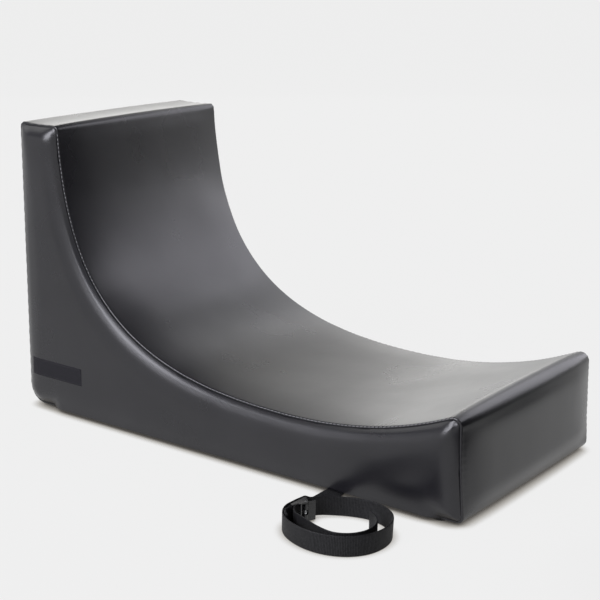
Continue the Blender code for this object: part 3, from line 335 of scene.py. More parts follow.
def rounded_corner(at, arriving, leaving, radius, steps):
    """Points round a corner between two directions; the path turns right."""
    turn = math.acos(arriving[0] * leaving[0] + arriving[1] * leaving[1])
    reach = radius * math.tan(turn / 2)
    start = (at[0] - arriving[0] * reach, at[1] - arriving[1] * reach)
    centre = (start[0] + arriving[1] * radius, start[1] - arriving[0] * radius)
    made = []
    for i in range(steps + 1):
        angle = turn * i / steps
        out = (-arriving[1] * math.cos(angle) + arriving[0] * math.sin(angle),
               arriving[0] * math.cos(angle) + arriving[1] * math.sin(angle))
        made.append((centre[0] + out[0] * radius, centre[1] + out[1] * radius))
    return made


def drawn_face(start, end, draw, steps):
    """Points along a flat face, without its ends, whose middle is drawn in."""
    along = Vector(end) - Vector(start)
    out = Vector((-along.y, along.x)).normalized()
    made = []
    for i in range(1, steps):
        share = i / steps
        at = Vector(start) + along * share - out * draw * math.sin(math.pi * share)
        made.append((at.x, at.y))
    return made


def arc_points():
    """The arc at its seam, from the top edge to the lip."""
    top = Vector((BACK_X + TOP_DEPTH, HEIGHT))
    low = Vector((BACK_X + LOW_FROM_BACK, LOW_HEIGHT))
    toe = Vector((TOE_X - TOE_LEAN, TOE_HEIGHT))
    down = Vector((math.sin(UPRIGHT_LEAN), -math.cos(UPRIGHT_LEAN)))
    rise = Vector((math.cos(TOE_SLOPE), math.sin(TOE_SLOPE)))
    level = Vector((1, 0))
    first = interpolate_bezier(top, top + down * UPRIGHT_REACH, low - level * KNEE_REACH, low, 200)
    second = interpolate_bezier(low, low + level * FLAT_REACH, toe - rise * TOE_REACH, toe, 120)
    return [(point.x, point.y) for point in first + second[1:]]


class Outline:
    """The cover's outline at the seam: places, outward normals, crowns, runs and sides."""

    def __init__(self):
        up = (0.0, 1.0)
        down = (math.sin(UPRIGHT_LEAN), -math.cos(UPRIGHT_LEAN))
        rise = (math.cos(TOE_SLOPE), math.sin(TOE_SLOPE))
        lip = Vector((TOE_X - TOE_LEAN, TOE_HEIGHT))
        foot = Vector((TOE_X, COVER_Z))
        fall = tuple((foot - lip).normalized())
        heel_end = (HEEL_X + HEEL_RADIUS + TUCK, COVER_Z)
        heel = [(heel_end[0] - TUCK * share, COVER_Z) for share in (0.0, 0.3, 0.6, 0.85)]
        heel += rounded_corner((HEEL_X, COVER_Z), (-1.0, 0.0), up, HEEL_RADIUS, 12)
        back = drawn_face((HEEL_X, COVER_Z + HEEL_RADIUS), (BACK_X, HEIGHT - FOLD_RADIUS),
                          DRAW_BACK, 90)
        first = rounded_corner((BACK_X, HEIGHT), up, (1.0, 0.0), FOLD_RADIUS, 8)
        top = drawn_face((BACK_X + FOLD_RADIUS, HEIGHT), (BACK_X + TOP_DEPTH - FOLD_RADIUS, HEIGHT),
                         DRAW_TOP, 14)
        second = rounded_corner((BACK_X + TOP_DEPTH, HEIGHT), (1.0, 0.0), down, FOLD_RADIUS, 8)
        turn = math.acos(rise[0] * fall[0] + rise[1] * fall[1])
        reach = LIP_RADIUS * math.tan(turn / 2)
        edge = second[-1]
        curve = [spot for spot in arc_points()
                 if spot[1] < edge[1] - 0.001 or spot[0] > 0 and spot[1] < edge[1]]
        curve = [spot for spot in curve if spot[0] < lip.x - rise[0] * reach - 0.0005]
        third = rounded_corner(tuple(lip), rise, fall, LIP_RADIUS, 12)
        front = drawn_face(lip + Vector(fall) * reach, foot - Vector(fall) * FOOT_RADIUS,
                           DRAW_FRONT, 32)
        toe = rounded_corner(tuple(foot), fall, (-1.0, 0.0), FOOT_RADIUS, 6)
        toe += [(TOE_X - FOOT_RADIUS - TUCK * share, COVER_Z) for share in (0.3, 0.6, 1.0)]
        parts = [(heel, 0.0, 0.0, 0.3), (back, CROWN_BACK, FALL_BACK, 0.4),
                 (first, CROWN_TOP, FALL_TOP, 1.0), (top, CROWN_TOP, FALL_TOP, 1.0),
                 (second, CROWN_ARC, FALL_TOP, 1.0), (curve, CROWN_ARC, FALL_ARC, 0.4),
                 (third, CROWN_ARC, FALL_ARC, 0.3), (front, CROWN_FRONT, FALL_FRONT, 0.2),
                 (toe, 0.0, 0.0, 0.2)]
        points = np.array([spot for part in parts for spot in part[0]])
        crown, fall, slack = np.array([part[1:] for part in parts for _ in part[0]]).T
        half = [len(first) // 2, len(second) // 2, len(third) // 2]
        count = [len(part[0]) for part in parts]
        self.at = points
        step = np.linalg.norm(np.diff(points, axis=0), axis=1)
        self.run = np.concatenate([[0.0], np.cumsum(step)])
        along = unit(np.gradient(points, self.run, axis=0))
        self.normal = np.stack([-along[:, 1], along[:, 0]], axis=1)
        self.crown = smooth(crown, self.run, 0.012)
        self.fall = smooth(fall, self.run, 0.014)
        self.slack = smooth(slack, self.run, 0.030)
        ends = np.cumsum([0] + count)
        corners = [ends[2] + half[0], ends[4] + half[1], ends[6] + half[2]]
        self.sides = [slice(0, corners[0] + 1), slice(corners[0], corners[1] + 1),
                      slice(corners[1], corners[2] + 1), slice(corners[2], len(points))]
        self.corner_runs = [self.run[i] for i in corners]

    def wave(self):
        """The small waviness of the seam, in depth."""
        made = np.array([noise.noise(Vector((run / 0.026, 3.1, 0.0))) for run in self.run])
        ease = np.clip(np.minimum(self.run, self.run[-1] - self.run) / 0.05, 0, 1)
        return made * SEAM_WAVE * self.slack * ease


def unit(rows):
    """Each row at a length of one."""
    return rows / np.linalg.norm(rows, axis=1)[:, None]


def smooth(values, run, width):
    """Blur values along a run."""
    weight = np.exp(-((run[:, None] - run[None]) / width) ** 2)
    return ((weight @ values).T / weight.sum(axis=1)).T


def skin_wave(points):
    """Slow unevenness of the padding at points."""
    return np.array([noise.noise(Vector(point) * 9.0 + Vector((5.2, 1.3, 0.7)))
                     + 0.5 * noise.noise(Vector(point) * 21.0) for point in points]) * SKIN_WAVE


def far_shift(points):
    """How far out the far edge lies at points, blended between the listed places."""
    spots = np.array(FAR_SHIFTS)
    apart = ((points[:, None, :] - spots[None, :, :2]) ** 2).sum(-1)
    weight = 1.0 / (apart + 0.0004) ** 1.5
    return (weight * spots[:, 2]).sum(axis=1) / weight.sum(axis=1)


def main_cover(line, look):
    """The long strip from heel to toe, crowned across and rolled into both seams."""
    middle = np.concatenate([np.linspace(0.0, 0.110, 12)[:-1], np.linspace(0.110, STRIP_FLAT, 18)])
    angles = np.radians([14, 28, 42, 56, 68, 80])
    profile = [(y, -1.0) for y in middle]
    profile += [(STRIP_FLAT + STRIP_ROLL * math.sin(a), STRIP_ROLL * (1 - math.cos(a)))
                for a in angles]
    last = profile[-1]
    profile += [(last[0], (last[1] + SEAM_DEPTH) / 2), (last[0] - 0.0004, SEAM_DEPTH)]
    profile = np.array(profile)
    half = len(profile)
    ys = np.concatenate([-profile[::-1, 0], profile[1:, 0]])
    depths = np.concatenate([profile[::-1, 1], profile[1:, 1]])
    flat = depths < 0
    inset = STRIP_FLAT - np.abs(ys)
    rise = 1 - np.clip(1 - inset / FALL_WIDTH, 0, 1) ** 2
    dome = 1 - (ys / STRIP_FLAT) ** 2
    wave = line.wave()
    ease = np.clip(np.minimum(line.run, line.run[-1] - line.run) / 0.06, 0, 1)
    pucker = PUCKER * np.cos(2 * math.pi * line.run / STITCH_PITCH) * ease
    points = []
    for i, (at, normal) in enumerate(zip(line.at, line.normal)):
        lift = np.where(flat, line.crown[i] * dome + line.fall[i] * rise * ease[i], 0.0)
        hold = np.exp(-np.clip(inset, 0, None) / 0.006)
        depth = np.where(flat, -lift, depths) + (wave[i] + pucker[i]) * hold
        place = at[None] - normal[None] * depth[:, None]
        points.append(np.stack([place[:, 0], ys, place[:, 1]], axis=1))
    grid = np.array(points)
    width = 2 * half - 1
    flat_points = grid.reshape(-1, 3)
    normals = np.repeat(np.stack([line.normal[:, 0], np.zeros(len(line.run)), line.normal[:, 1]],
                                 axis=1), width, axis=0)
    reach = np.tile(np.clip(inset / 0.02, 0, 1), len(line.run)) * np.repeat(ease, width)
    flat_points = flat_points + normals * (skin_wave(flat_points) * reach)[:, None]
    far = np.clip(flat_points[:, 1] / SIDE_Y, 0, 1) ** 2
    flat_points[:, 1] += far_shift(flat_points[:, ::2]) * far
    faces = [(r * width + c, r * width + c + 1, (r + 1) * width + c + 1, (r + 1) * width + c)
             for r in range(len(line.run) - 1) for c in range(width - 1)]
    made = add_mesh("upholstery_strip", flat_points, faces, look)
    low = np.repeat(line.at[:, 1] < COVER_Z + 0.010, width)
    settle(made, np.flatnonzero(np.tile(inset < PIN_WIDTH, len(line.run)) | low), line.run)
    return made


def distance_to(line, points):
    """The least distance from each point to a line of straight pieces."""
    start = np.asarray(line[:-1])
    step = np.asarray(line[1:]) - start
    made = []
    for block in np.array_split(np.asarray(points), max(1, len(points) // 2000)):
        where = block[:, None, :] - start[None]
        share = np.clip((where * step).sum(-1) / np.maximum((step * step).sum(-1), 1e-12), 0, 1)
        made.append(np.linalg.norm(where - share[..., None] * step, axis=-1).min(axis=1))
    return np.concatenate(made)


def inside(ring, points):
    """Which points lie inside a closed ring."""
    hit = np.zeros(len(points), dtype=bool)
    for (x0, z0), (x1, z1) in zip(ring, np.roll(ring, -1, axis=0)):
        if z0 == z1:
            continue
        crosses = (z0 > points[:, 1]) != (z1 > points[:, 1])
        hit ^= crosses & (points[:, 0] < x0 + (points[:, 1] - z0) / (z1 - z0) * (x1 - x0))
    return hit


def roll_profile(away):
    """How far a panel has risen at a distance from its seam: a rounded roll."""
    start = PANEL_ROLL * math.sin(PANEL_ANGLE)
    low = PANEL_ROLL * math.cos(PANEL_ANGLE)
    left = np.clip(start - away, 0, None)
    return np.sqrt(PANEL_ROLL ** 2 - left ** 2) - low


def panel_rise(line, rim, points):
    """How far the side panel stands out from its seam."""
    full = PANEL_ROLL * (1 - math.cos(PANEL_ANGLE))
    rise = np.ones(len(points))
    dome = np.ones(len(points))
    for side in line.sides:
        away = distance_to(rim[side], points)
        rise *= roll_profile(away) / full
        dome *= 1 - np.exp(-away / PANEL_SPREAD)
    return rise * full + dome * PANEL_CROWN


def panel_height(line, rim, points):
    """How far a side panel stands from the middle of the arc at points of its face."""
    above = points[:, 1] - COVER_Z - PANEL_FOLD
    drawn = PANEL_DRAW * np.exp(-above / PANEL_DRAW_FADE)
    return PANEL_START + panel_rise(line, rim, points) - drawn


def seam_rim(line):
    """The line where a side panel leaves its seam."""
    return line.at - line.normal * (PANEL_SINK + line.wave())[:, None]


def side_cover(name, side, line, look):
    """A side panel: rolled out of its seam, gently crowned, and folded under at the base."""
    rim = seam_rim(line)
    fold_z = COVER_Z + PANEL_FOLD
    spots = [rim]
    for away in PANEL_RINGS:
        ring = line.at - line.normal * (PANEL_SINK + away)
        keep = distance_to(rim, ring) > away * 0.93
        keep &= ring[:, 1] > fold_z + 0.0006
        spots.append(ring[keep])
    xs = np.arange(BACK_X, TOE_X, PANEL_GRID)
    zs = np.arange(fold_z + 0.0045, HEIGHT, PANEL_GRID)
    grid = np.array([(x, z) for x in xs for z in zs])
    grid = grid[inside(rim, grid)]
    grid = grid[distance_to(rim, grid) > PANEL_GRID_START]
    spots.append(grid)
    first = HEEL_X + HEEL_RADIUS + TUCK + COVER
    last = TOE_X - FOOT_RADIUS - TUCK - COVER
    base_xs = np.linspace(last, first, 110)
    flat = [tuple(spot) for part in spots for spot in part]
    below = []
    for drop in (*PANEL_DROPS, PANEL_FOLD * math.pi / 2):
        below.append((len(flat), len(base_xs)))
        flat += [(x, fold_z - drop) for x in base_xs]
    below.append((len(flat), len(base_xs)))
    flat += [(x, fold_z - PANEL_FOLD * math.pi / 2 - SIDE_TUCK + PANEL_FOLD) for x in base_xs]
    rim_run = list(range(len(rim)))
    outline = rim_run + [start for start, _ in below[4:]]
    outline += list(range(below[-1][0] + 1, below[-1][0] + below[-1][1]))
    outline += [start + count - 1 for start, count in below[4:-1][::-1]]
    made = delaunay_2d_cdt([Vector(spot) for spot in flat], [], [outline], 1, 1e-7)
    order = [source[0] for source in made[3]]
    faces = [tuple(order[i] for i in face) for face in made[2]]
    flat = np.array(flat)
    x = flat[:, 0]
    q = flat[:, 1]
    z = np.maximum(q, fold_z)
    y = panel_height(line, rim, np.stack([x, z], axis=1))
    y[:len(rim)] = PANEL_START
    angle = np.clip((fold_z - q) / PANEL_FOLD, 0, math.pi / 2)
    under = np.clip(fold_z - q - PANEL_FOLD * math.pi / 2, 0, None)
    inner = np.minimum(PANEL_FOLD * (1 - np.cos(angle)) + under, y)
    real = np.stack([x, y - inner, z - PANEL_FOLD * np.sin(angle)], axis=1)
    calm = np.clip(distance_to(rim, flat) / 0.02, 0, 1) * (q > fold_z)
    real[:, 1] += skin_wave(real * np.array((1, 3.0 * side, 1))) * calm
    wall = rim - line.normal * (SEAM_DEPTH - PANEL_SINK)
    base = len(real)
    real = np.vstack([real, np.stack([wall[:, 0], np.full(len(wall), PANEL_START - 0.0002),
                                      wall[:, 1]], axis=1)])
    faces += [(i, i + 1, base + i + 1, base + i) for i in range(len(rim) - 1)]
    if side > 0:
        real[:, 1] += far_shift(real[:, ::2])
    real[:, 1] *= side
    used = sorted({i for face in faces for i in face})
    number = {old: new for new, old in enumerate(used)}
    faces = [tuple(number[i] for i in face) for face in faces]
    made = add_mesh(name, real[used], faces, look)
    held = (distance_to(rim, real[used][:, ::2]) < PIN_WIDTH) | (real[used][:, 2] < fold_z + 0.006)
    settle(made, np.flatnonzero(held))
    return made


def thread_run(centres, along, off, radius, length):
    """Points and faces of short sewn stitches, each a small thread whose ends dive in."""
    shares = np.array([-0.5, -0.40, -0.22, 0.0, 0.22, 0.40, 0.5])
    thick = np.array([0.25, 0.8, 1.0, 1.0, 1.0, 0.8, 0.25]) * radius
    drop = np.array([-1.3, -0.35, 0.25, 0.4, 0.25, -0.35, -1.3]) * radius
    turns = np.linspace(0, 2 * math.pi, 7)[:-1]
    points = []
    faces = []
    for centre, run, out, reach in zip(centres, along, off, length):
        side = np.cross(run, out)
        base = len(points)
        for share, wide, low in zip(shares, thick, drop):
            middle = centre + run * share * reach + out * low
            points += [middle + (side * math.cos(t) + out * math.sin(t)) * wide for t in turns]
        for ring in range(len(shares) - 1):
            for i in range(6):
                j = (i + 1) % 6
                a, b = base + ring * 6, base + ring * 6 + 6
                faces.append((a + i, a + j, b + j, b + i))
        faces.append(tuple(base + i for i in range(6))[::-1])
        faces.append(tuple(base + 6 * (len(shares) - 1) + i for i in range(6)))
    return points, faces


def seam_stitches(line, look, painted_hole_shade):
    """The sewn line on the strip's edge and its needle holes, along the arc on both sides.

    The thread's light grey also paints the glint of the edge; the holes are dark capsules of
    painted shade.
    """
    start, end = line.corner_runs[1] + 0.006, line.corner_runs[2] - 0.004
    spots = np.arange(math.ceil(start / STITCH_PITCH) * STITCH_PITCH, end, STITCH_PITCH)
    rows = {}
    for key, values in (("x", line.at[:, 0]), ("z", line.at[:, 1]), ("nx", line.normal[:, 0]),
                        ("nz", line.normal[:, 1]), ("wave", line.wave())):
        rows[key] = np.interp(spots, line.run, values)
    depth = STRIP_ROLL * (1 - math.cos(STITCH_ANGLE)) + rows["wave"] + PUCKER
    x = rows["x"] - rows["nx"] * depth
    z = rows["z"] - rows["nz"] * depth
    still = np.zeros(len(spots))
    along = np.stack([rows["nz"], still, -rows["nx"]], axis=1)
    points = []
    faces = []
    hole_shade_points = []
    hole_shade_faces = []
    for side in (-1, 1):
        y = np.full(len(spots), STRIP_FLAT + STRIP_ROLL * math.sin(STITCH_ANGLE))
        if side > 0:
            y = y + far_shift(np.stack([x, z], axis=1))
        centres = np.stack([x, side * y, z], axis=1)
        off = np.stack([rows["nx"] * math.cos(STITCH_ANGLE),
                        np.full(len(spots), side * math.sin(STITCH_ANGLE)),
                        rows["nz"] * math.cos(STITCH_ANGLE)], axis=1)
        # Below TIGHT_BELOW the long stitches join into one line; its light grey is a painted glint
        # of the edge.
        lengths = np.where(z < TIGHT_BELOW, GLINT_LINE_STITCH, STITCH)
        more, made = thread_run(centres, along, off, THREAD, lengths)
        faces += [tuple(i + len(points) for i in face) for face in made]
        points += more
        # Painted shade: dark capsules between the stitches stand in for the shade in the needle
        # holes.
        between = centres[:-1] + np.diff(centres, axis=0) / 2 - off[:-1] * HOLE_SHADE * 0.55
        seen = between[:, 2] > TIGHT_BELOW
        more, made = thread_run(between[seen], along[:-1][seen], off[:-1][seen], HOLE_SHADE,
                                np.full(seen.sum(), HOLE_SHADE * 3))
        hole_shade_faces += [tuple(i + len(hole_shade_points) for i in face) for face in made]
        hole_shade_points += more
    return (add_mesh("seam_stitches", points, faces, look),
            add_mesh("needle_holes_painted_shade", hole_shade_points, hole_shade_faces, painted_hole_shade))


def face_height(piece, places):
    """How far a side panel stands out at places of its face."""
    shape = BVHTree.FromPolygons([v.co for v in piece.data.vertices],
                                 [tuple(face.vertices) for face in piece.data.polygons])
    inward = Vector((0, 1, 0))
    return np.array([-shape.ray_cast(Vector((x, -1.0, z)), inward)[0].y for x, z in places])


def label(panel, look, thread):
    """The bare woven tag with its stitched border, lying on the near side panel."""
    us, vs = (np.concatenate([[0.0, TAG_EDGE], np.linspace(0.0018, size - 0.0018, count),
                              [size - TAG_EDGE, size]])
              for size, count in ((TAG_LENGTH, 60), (TAG_HEIGHT, 18)))
    flat = np.array([(u, v) for u in us for v in vs])
    place = flat + np.array((BACK_X + TAG_BACK_INSET, TAG_BOTTOM))
    edge = np.minimum.reduce([flat[:, 0], TAG_LENGTH - flat[:, 0],
                              flat[:, 1], TAG_HEIGHT - flat[:, 1]])
    seam = np.exp(-((edge - TAG_SEAM_INSET) / TAG_EDGE) ** 2)
    lift = TAG_THICKNESS * np.sqrt(np.clip(edge / TAG_EDGE, 0, 1)) - TAG_SEAM_DEPTH * seam
    y = face_height(panel, place) + lift
    points = np.stack([place[:, 0], -y, place[:, 1]], axis=1)
    rows = len(vs)
    faces = [(i * rows + j, i * rows + j + 1, (i + 1) * rows + j + 1, (i + 1) * rows + j)
             for i in range(len(us) - 1) for j in range(rows - 1)]
    tag = add_mesh("woven_tag", points, faces, look, flat)
    inset = TAG_SEAM_INSET
    across = np.arange(inset, TAG_LENGTH - inset, TAG_STITCH_PITCH)
    upward = np.arange(inset + 0.0015, TAG_HEIGHT - inset, TAG_STITCH_PITCH)
    spots = [(u, v, 1, 0) for u in across for v in (inset, TAG_HEIGHT - inset)]
    spots += [(u, v, 0, 1) for u in (inset, TAG_LENGTH - inset) for v in upward]
    spots = np.array(spots)
    place = spots[:, :2] + np.array((BACK_X + TAG_BACK_INSET, TAG_BOTTOM))
    y = face_height(panel, place) + TAG_THICKNESS - 0.0002
    centres = np.stack([place[:, 0], -y, place[:, 1]], axis=1)
    along = np.stack([spots[:, 2], np.zeros(len(spots)), spots[:, 3]], axis=1)
    off = np.tile((0.0, -1.0, 0.0), (len(spots), 1))
    lengths = np.full(len(spots), TAG_STITCH)
    points, faces = thread_run(centres, along, off, TAG_THREAD, lengths)
    return tag, add_mesh("tag_stitches", points, faces, thread)


# Strap

def smooth_route(points, steps):
    """A centripetal Catmull-Rom curve through the route's points."""
    spots = [np.array(point, float) for point in points]
    spots = [2 * spots[0] - spots[1]] + spots + [2 * spots[-1] - spots[-2]]
    made = []
    for p0, p1, p2, p3 in zip(spots, spots[1:], spots[2:], spots[3:]):
        t1 = math.sqrt(np.linalg.norm((p1 - p0)[:2]))
        t2 = t1 + math.sqrt(np.linalg.norm((p2 - p1)[:2]))
        t3 = t2 + math.sqrt(np.linalg.norm((p3 - p2)[:2]))
        for i in range(steps):
            t = t1 + (t2 - t1) * i / steps
            a1 = ((t1 - t) * p0 + t * p1) / t1
            a2 = ((t2 - t) * p1 + (t - t1) * p2) / (t2 - t1)
            a3 = ((t3 - t) * p2 + (t - t2) * p3) / (t3 - t2)
            b1 = ((t2 - t) * a1 + t * a2) / t2
            b2 = ((t3 - t) * a2 + (t - t1) * a3) / (t3 - t1)
            made.append(((t2 - t) * b1 + (t - t1) * b2) / (t2 - t1))
    made.append(spots[-2])
    return np.array(made)


def even(curve, step):
    """The same curve, sampled at even steps of its length."""
    run = np.concatenate([[0.0], np.cumsum(np.linalg.norm(np.diff(curve[:, :2], axis=0), axis=1))])
    spots = np.linspace(0.0, run[-1], int(round(run[-1] / step)) + 1)
    return spots, np.stack([np.interp(spots, run, column) for column in curve.T], axis=1)


def webbing_mesh(name, run, centre, across, off, width, thickness, look, edge=0.0007):
    """Woven webbing with cross ribs along a line of centres."""
    half = width / 2
    vs = np.array([0.0, 0.0012, 0.0035, 0.0065, 0.0095, 0.0115]) / 0.0125 * half
    vs = np.concatenate([-vs[:0:-1], vs])
    side = np.array([half - edge * 0.35, half])
    rib = np.abs(np.sin(math.pi * run / RIB_PITCH)) - 0.6
    rings = []
    uvs = []
    for i in range(len(run)):
        swell = thickness / 2 + RIB_HEIGHT * rib[i]
        top = [(v, swell) for v in vs] + [(side[0], swell * 0.75), (side[1], 0.0)]
        ring = top + [(v, -h) for v, h in reversed(top[:-1])]
        ring = [(-side[0], swell * 0.75)] + ring + [(-side[0], -swell * 0.75), (-side[1], 0.0)]
        rings.append([centre[i] + across[i] * v + off[i] * h for v, h in ring])
        uvs.append([(run[i], v) for v, _ in ring])
    count = len(rings[0])
    points = np.array(rings).reshape(-1, 3)
    faces = []
    for r in range(len(rings) - 1):
        for c in range(count):
            d = (c + 1) % count
            faces.append((r * count + c, r * count + d, (r + 1) * count + d, (r + 1) * count + c))
    faces.append(tuple(range(count))[::-1])
    faces.append(tuple((len(rings) - 1) * count + c for c in range(count)))
    return add_mesh(name, points, faces, look, np.array(uvs).reshape(-1, 2))


def strap(look):
    """The strap from under its anchor plate to its free end."""
    route = [(x, -SIDE_Y - out, z, tilt) for x, out, z, tilt in STRAP_ROUTE]
    run, curve = even(smooth_route(route, 24), RIB_PITCH / 5)
    along = unit(np.gradient(curve[:, :2], axis=0))
    tilt = np.radians(curve[:, 3])[:, None]
    flat = np.stack([along[:, 1], -along[:, 0]], axis=1)
    across = np.hstack([flat * np.cos(tilt), np.sin(tilt)])
    centre = np.hstack([curve[:, :2], curve[:, 2:3] + WEBBING_WIDTH / 2 * np.sin(tilt)])
    off = unit(np.cross(np.gradient(centre, axis=0), across))
    made = webbing_mesh("strap_band", run, centre, across, off, WEBBING_WIDTH, WEBBING, look)
    length = np.linalg.norm(np.diff(centre, axis=0), axis=1).sum()
    print(f"strap length {length * 1000:.0f} mm")
    return made, centre, length


def offset_line(points, depth):
    """An open line moved square to itself."""
    line = np.array(points)
    along = unit(np.gradient(line, axis=0))
    return line + np.stack([along[:, 1], -along[:, 0]], axis=1) * depth


def buckle_tab(look):
    """The sewn loop of webbing that holds the buckle's bar."""
    bar_u, bar_thick = TAB_BAR
    plate_low = -WEBBING / 2 - GAP - BACK_PLATE
    room = GAP + TAB / 2
    inner_u = bar_u - room
    outer_u = BUCKLE_HALF_LENGTH + room
    low = plate_low - room
    high = plate_low + bar_thick + room
    half = TAB / 2 + GAP / 2
    legs = smooth_route([(*point, 0) for point in TAB_LEG], 3)[:, :2]
    one = offset_line(legs, half)
    two = offset_line(legs, -half)
    loop = [(outer_u, high), (bar_u, high), (inner_u, (low + high) / 2), (bar_u, low),
            (outer_u, low)]
    line = [tuple(p) for p in one] + loop + [tuple(p) for p in two[::-1]]
    curve = smooth_route([(*point, 0) for point in line], 8)
    run, curve = even(curve, RIB_PITCH / 5)
    x, out, height = BUCKLE_AT
    place = Matrix.Translation((x, -SIDE_Y - out, height)) @ Matrix.Rotation(-math.pi / 2, 4, 'Z')
    centre = np.array([place @ Vector((u, w, 0.0)) for u, w, _ in curve])
    across = np.tile((0.0, 0.0, 1.0), (len(run), 1))
    off = unit(np.cross(np.gradient(centre, axis=0), across))
    width = WEBBING_WIDTH - 0.0002
    return webbing_mesh("strap_keeper_tab", run, centre, across, off, width, TAB, look)


# Materials

def nodes_of(look):
    """A material's nodes, links and Principled BSDF."""
    tree = look.node_tree
    return tree.nodes, tree.links, tree.nodes["Principled BSDF"]


def plain(name, colour, roughness, metallic=0.0, ior=1.5):
    """A Principled BSDF with its plain values set on its own sockets."""
    made = bpy.data.materials.new(name)
    made.use_nodes = True
    shader = made.node_tree.nodes["Principled BSDF"]
    shader.inputs["Base Color"].default_value = (*colour, 1.0)
    shader.inputs["Roughness"].default_value = roughness
    shader.inputs["Metallic"].default_value = metallic
    shader.inputs["IOR"].default_value = ior
    return made


def object_noise(look, scale, detail=2.0, stretch=(1, 1, 1)):
    """Noise in the object's own space."""
    nodes, links, _ = nodes_of(look)
    where = nodes.new("ShaderNodeTexCoord")
    spread = nodes.new("ShaderNodeMapping")
    spread.inputs["Scale"].default_value = stretch
    links.new(where.outputs["Object"], spread.inputs["Vector"])
    made = nodes.new("ShaderNodeTexNoise")
    made.inputs["Scale"].default_value = scale
    made.inputs["Detail"].default_value = detail
    links.new(spread.outputs["Vector"], made.inputs["Vector"])
    return made.outputs["Fac"]


def ranged(look, value, low, high, start=0.3, end=0.7):
    """A value spread between two numbers."""
    nodes, links, _ = nodes_of(look)
    made = nodes.new("ShaderNodeMapRange")
    made.inputs["From Min"].default_value = start
    made.inputs["From Max"].default_value = end
    made.inputs["To Min"].default_value = low
    made.inputs["To Max"].default_value = high
    links.new(value, made.inputs["Value"])
    return made.outputs["Result"]


def tinted(look, value, dark, light):
    """A colour between two, by a value."""
    nodes, links, shader = nodes_of(look)
    ramp = nodes.new("ShaderNodeValToRGB")
    ramp.color_ramp.elements[0].position = 0.3
    ramp.color_ramp.elements[0].color = (*dark, 1.0)
    ramp.color_ramp.elements[1].position = 0.7
    ramp.color_ramp.elements[1].color = (*light, 1.0)
    links.new(value, ramp.inputs["Fac"])
    links.new(ramp.outputs["Color"], shader.inputs["Base Color"])


def bumped(look, value, strength, distance, under=None):
    """Bump from a value, on top of another bump."""
    nodes, links, shader = nodes_of(look)
    made = nodes.new("ShaderNodeBump")
    made.inputs["Strength"].default_value = strength
    made.inputs["Distance"].default_value = distance
    links.new(value, made.inputs["Height"])
    if under is not None:
        links.new(under, made.inputs["Normal"])
    links.new(made.outputs["Normal"], shader.inputs["Normal"])
    return made.outputs["Normal"]


def vinyl():
    """Black upholstery vinyl with a fine grain."""
    made = plain("black_vinyl", (0.009, 0.009, 0.010), 0.40)
    nodes, links, shader = nodes_of(made)
    where = nodes.new("ShaderNodeTexCoord")
    cells = nodes.new("ShaderNodeTexVoronoi")
    cells.feature = 'SMOOTH_F1'
    cells.inputs["Scale"].default_value = VINYL_GRAIN
    cells.inputs["Smoothness"].default_value = 0.6
    links.new(where.outputs["Object"], cells.inputs["Vector"])
    soft = bumped(made, object_noise(made, 26.0, 3.0), 0.10, 0.0015)
    bumped(made, cells.outputs["Distance"], 0.35, 0.00012, soft)
    gloss = ranged(made, object_noise(made, 8.0, 4.0), *VINYL_ROUGHNESS)
    links.new(gloss, shader.inputs["Roughness"])
    tinted(made, object_noise(made, 14.0, 4.0), VINYL_DARK, VINYL_LIGHT)
    return made


def bands(look, direction, pitch):
    """Soft bands across the strip's own coordinates."""
    nodes, links, _ = nodes_of(look)
    where = nodes.new("ShaderNodeUVMap")
    where.uv_map = "cut"
    made = nodes.new("ShaderNodeTexWave")
    made.wave_type = 'BANDS'
    made.bands_direction = direction
    made.inputs["Scale"].default_value = math.pi / 10 / pitch
    links.new(where.outputs["UV"], made.inputs["Vector"])
    return made.outputs["Fac"]


def woven(name, dark, light, roughness, pitch, sheen, rib_shade_pitch=None):
    """Woven webbing: warp and weft threads from the strip's own coordinates; painted shade on ribs.
    """
    made = plain(name, dark, roughness, ior=WOVEN_IOR)
    nodes, links, shader = nodes_of(made)
    soft = bumped(made, bands(made, 'Y', pitch), 0.5, 0.00012)
    bumped(made, object_noise(made, 2600.0, 3.0), 0.4, 0.00008, soft)
    shader.inputs["Sheen Weight"].default_value = sheen
    shader.inputs["Sheen Roughness"].default_value = 0.4
    value = object_noise(made, 500.0, 3.0)
    # Painted light and shade: the colour is lighter on the rib crests and darker between them.
    if rib_shade_pitch is not None:
        painted_rib_shade = nodes.new("ShaderNodeMath")
        painted_rib_shade.operation = 'MULTIPLY'
        links.new(value, painted_rib_shade.inputs[0])
        links.new(ranged(made, bands(made, 'X', rib_shade_pitch), 0.45, 1.5, 0.0, 1.0), painted_rib_shade.inputs[1])
        value = painted_rib_shade.outputs[0]
    tinted(made, value, dark, light)
    return made


def grained(name, dark, light, roughness, scale, depth, metallic=0.0, stretch=(1, 1, 1)):
    """A general rough surface with colour variation and fine bump."""
    made = plain(name, dark, roughness, metallic)
    _, links, shader = nodes_of(made)
    value = object_noise(made, scale, 4.0, stretch)
    tinted(made, value, dark, light)
    bumped(made, value, 0.5, depth)
    spread = roughness * 0.12
    gloss = ranged(made, value, roughness - spread, roughness + spread)
    links.new(gloss, shader.inputs["Roughness"])
    return made


# Floor and light

def stage_piece(name, points, faces, look, seen=True):
    """A mesh that belongs to the stage and not to the part, and whether the camera sees it."""
    data = bpy.data.meshes.new(name)
    data.from_pydata(points, [], faces)
    data.materials.append(look)
    made = bpy.data.objects.new(name, data)
    bpy.context.scene.collection.objects.link(made)
    made.visible_camera = seen


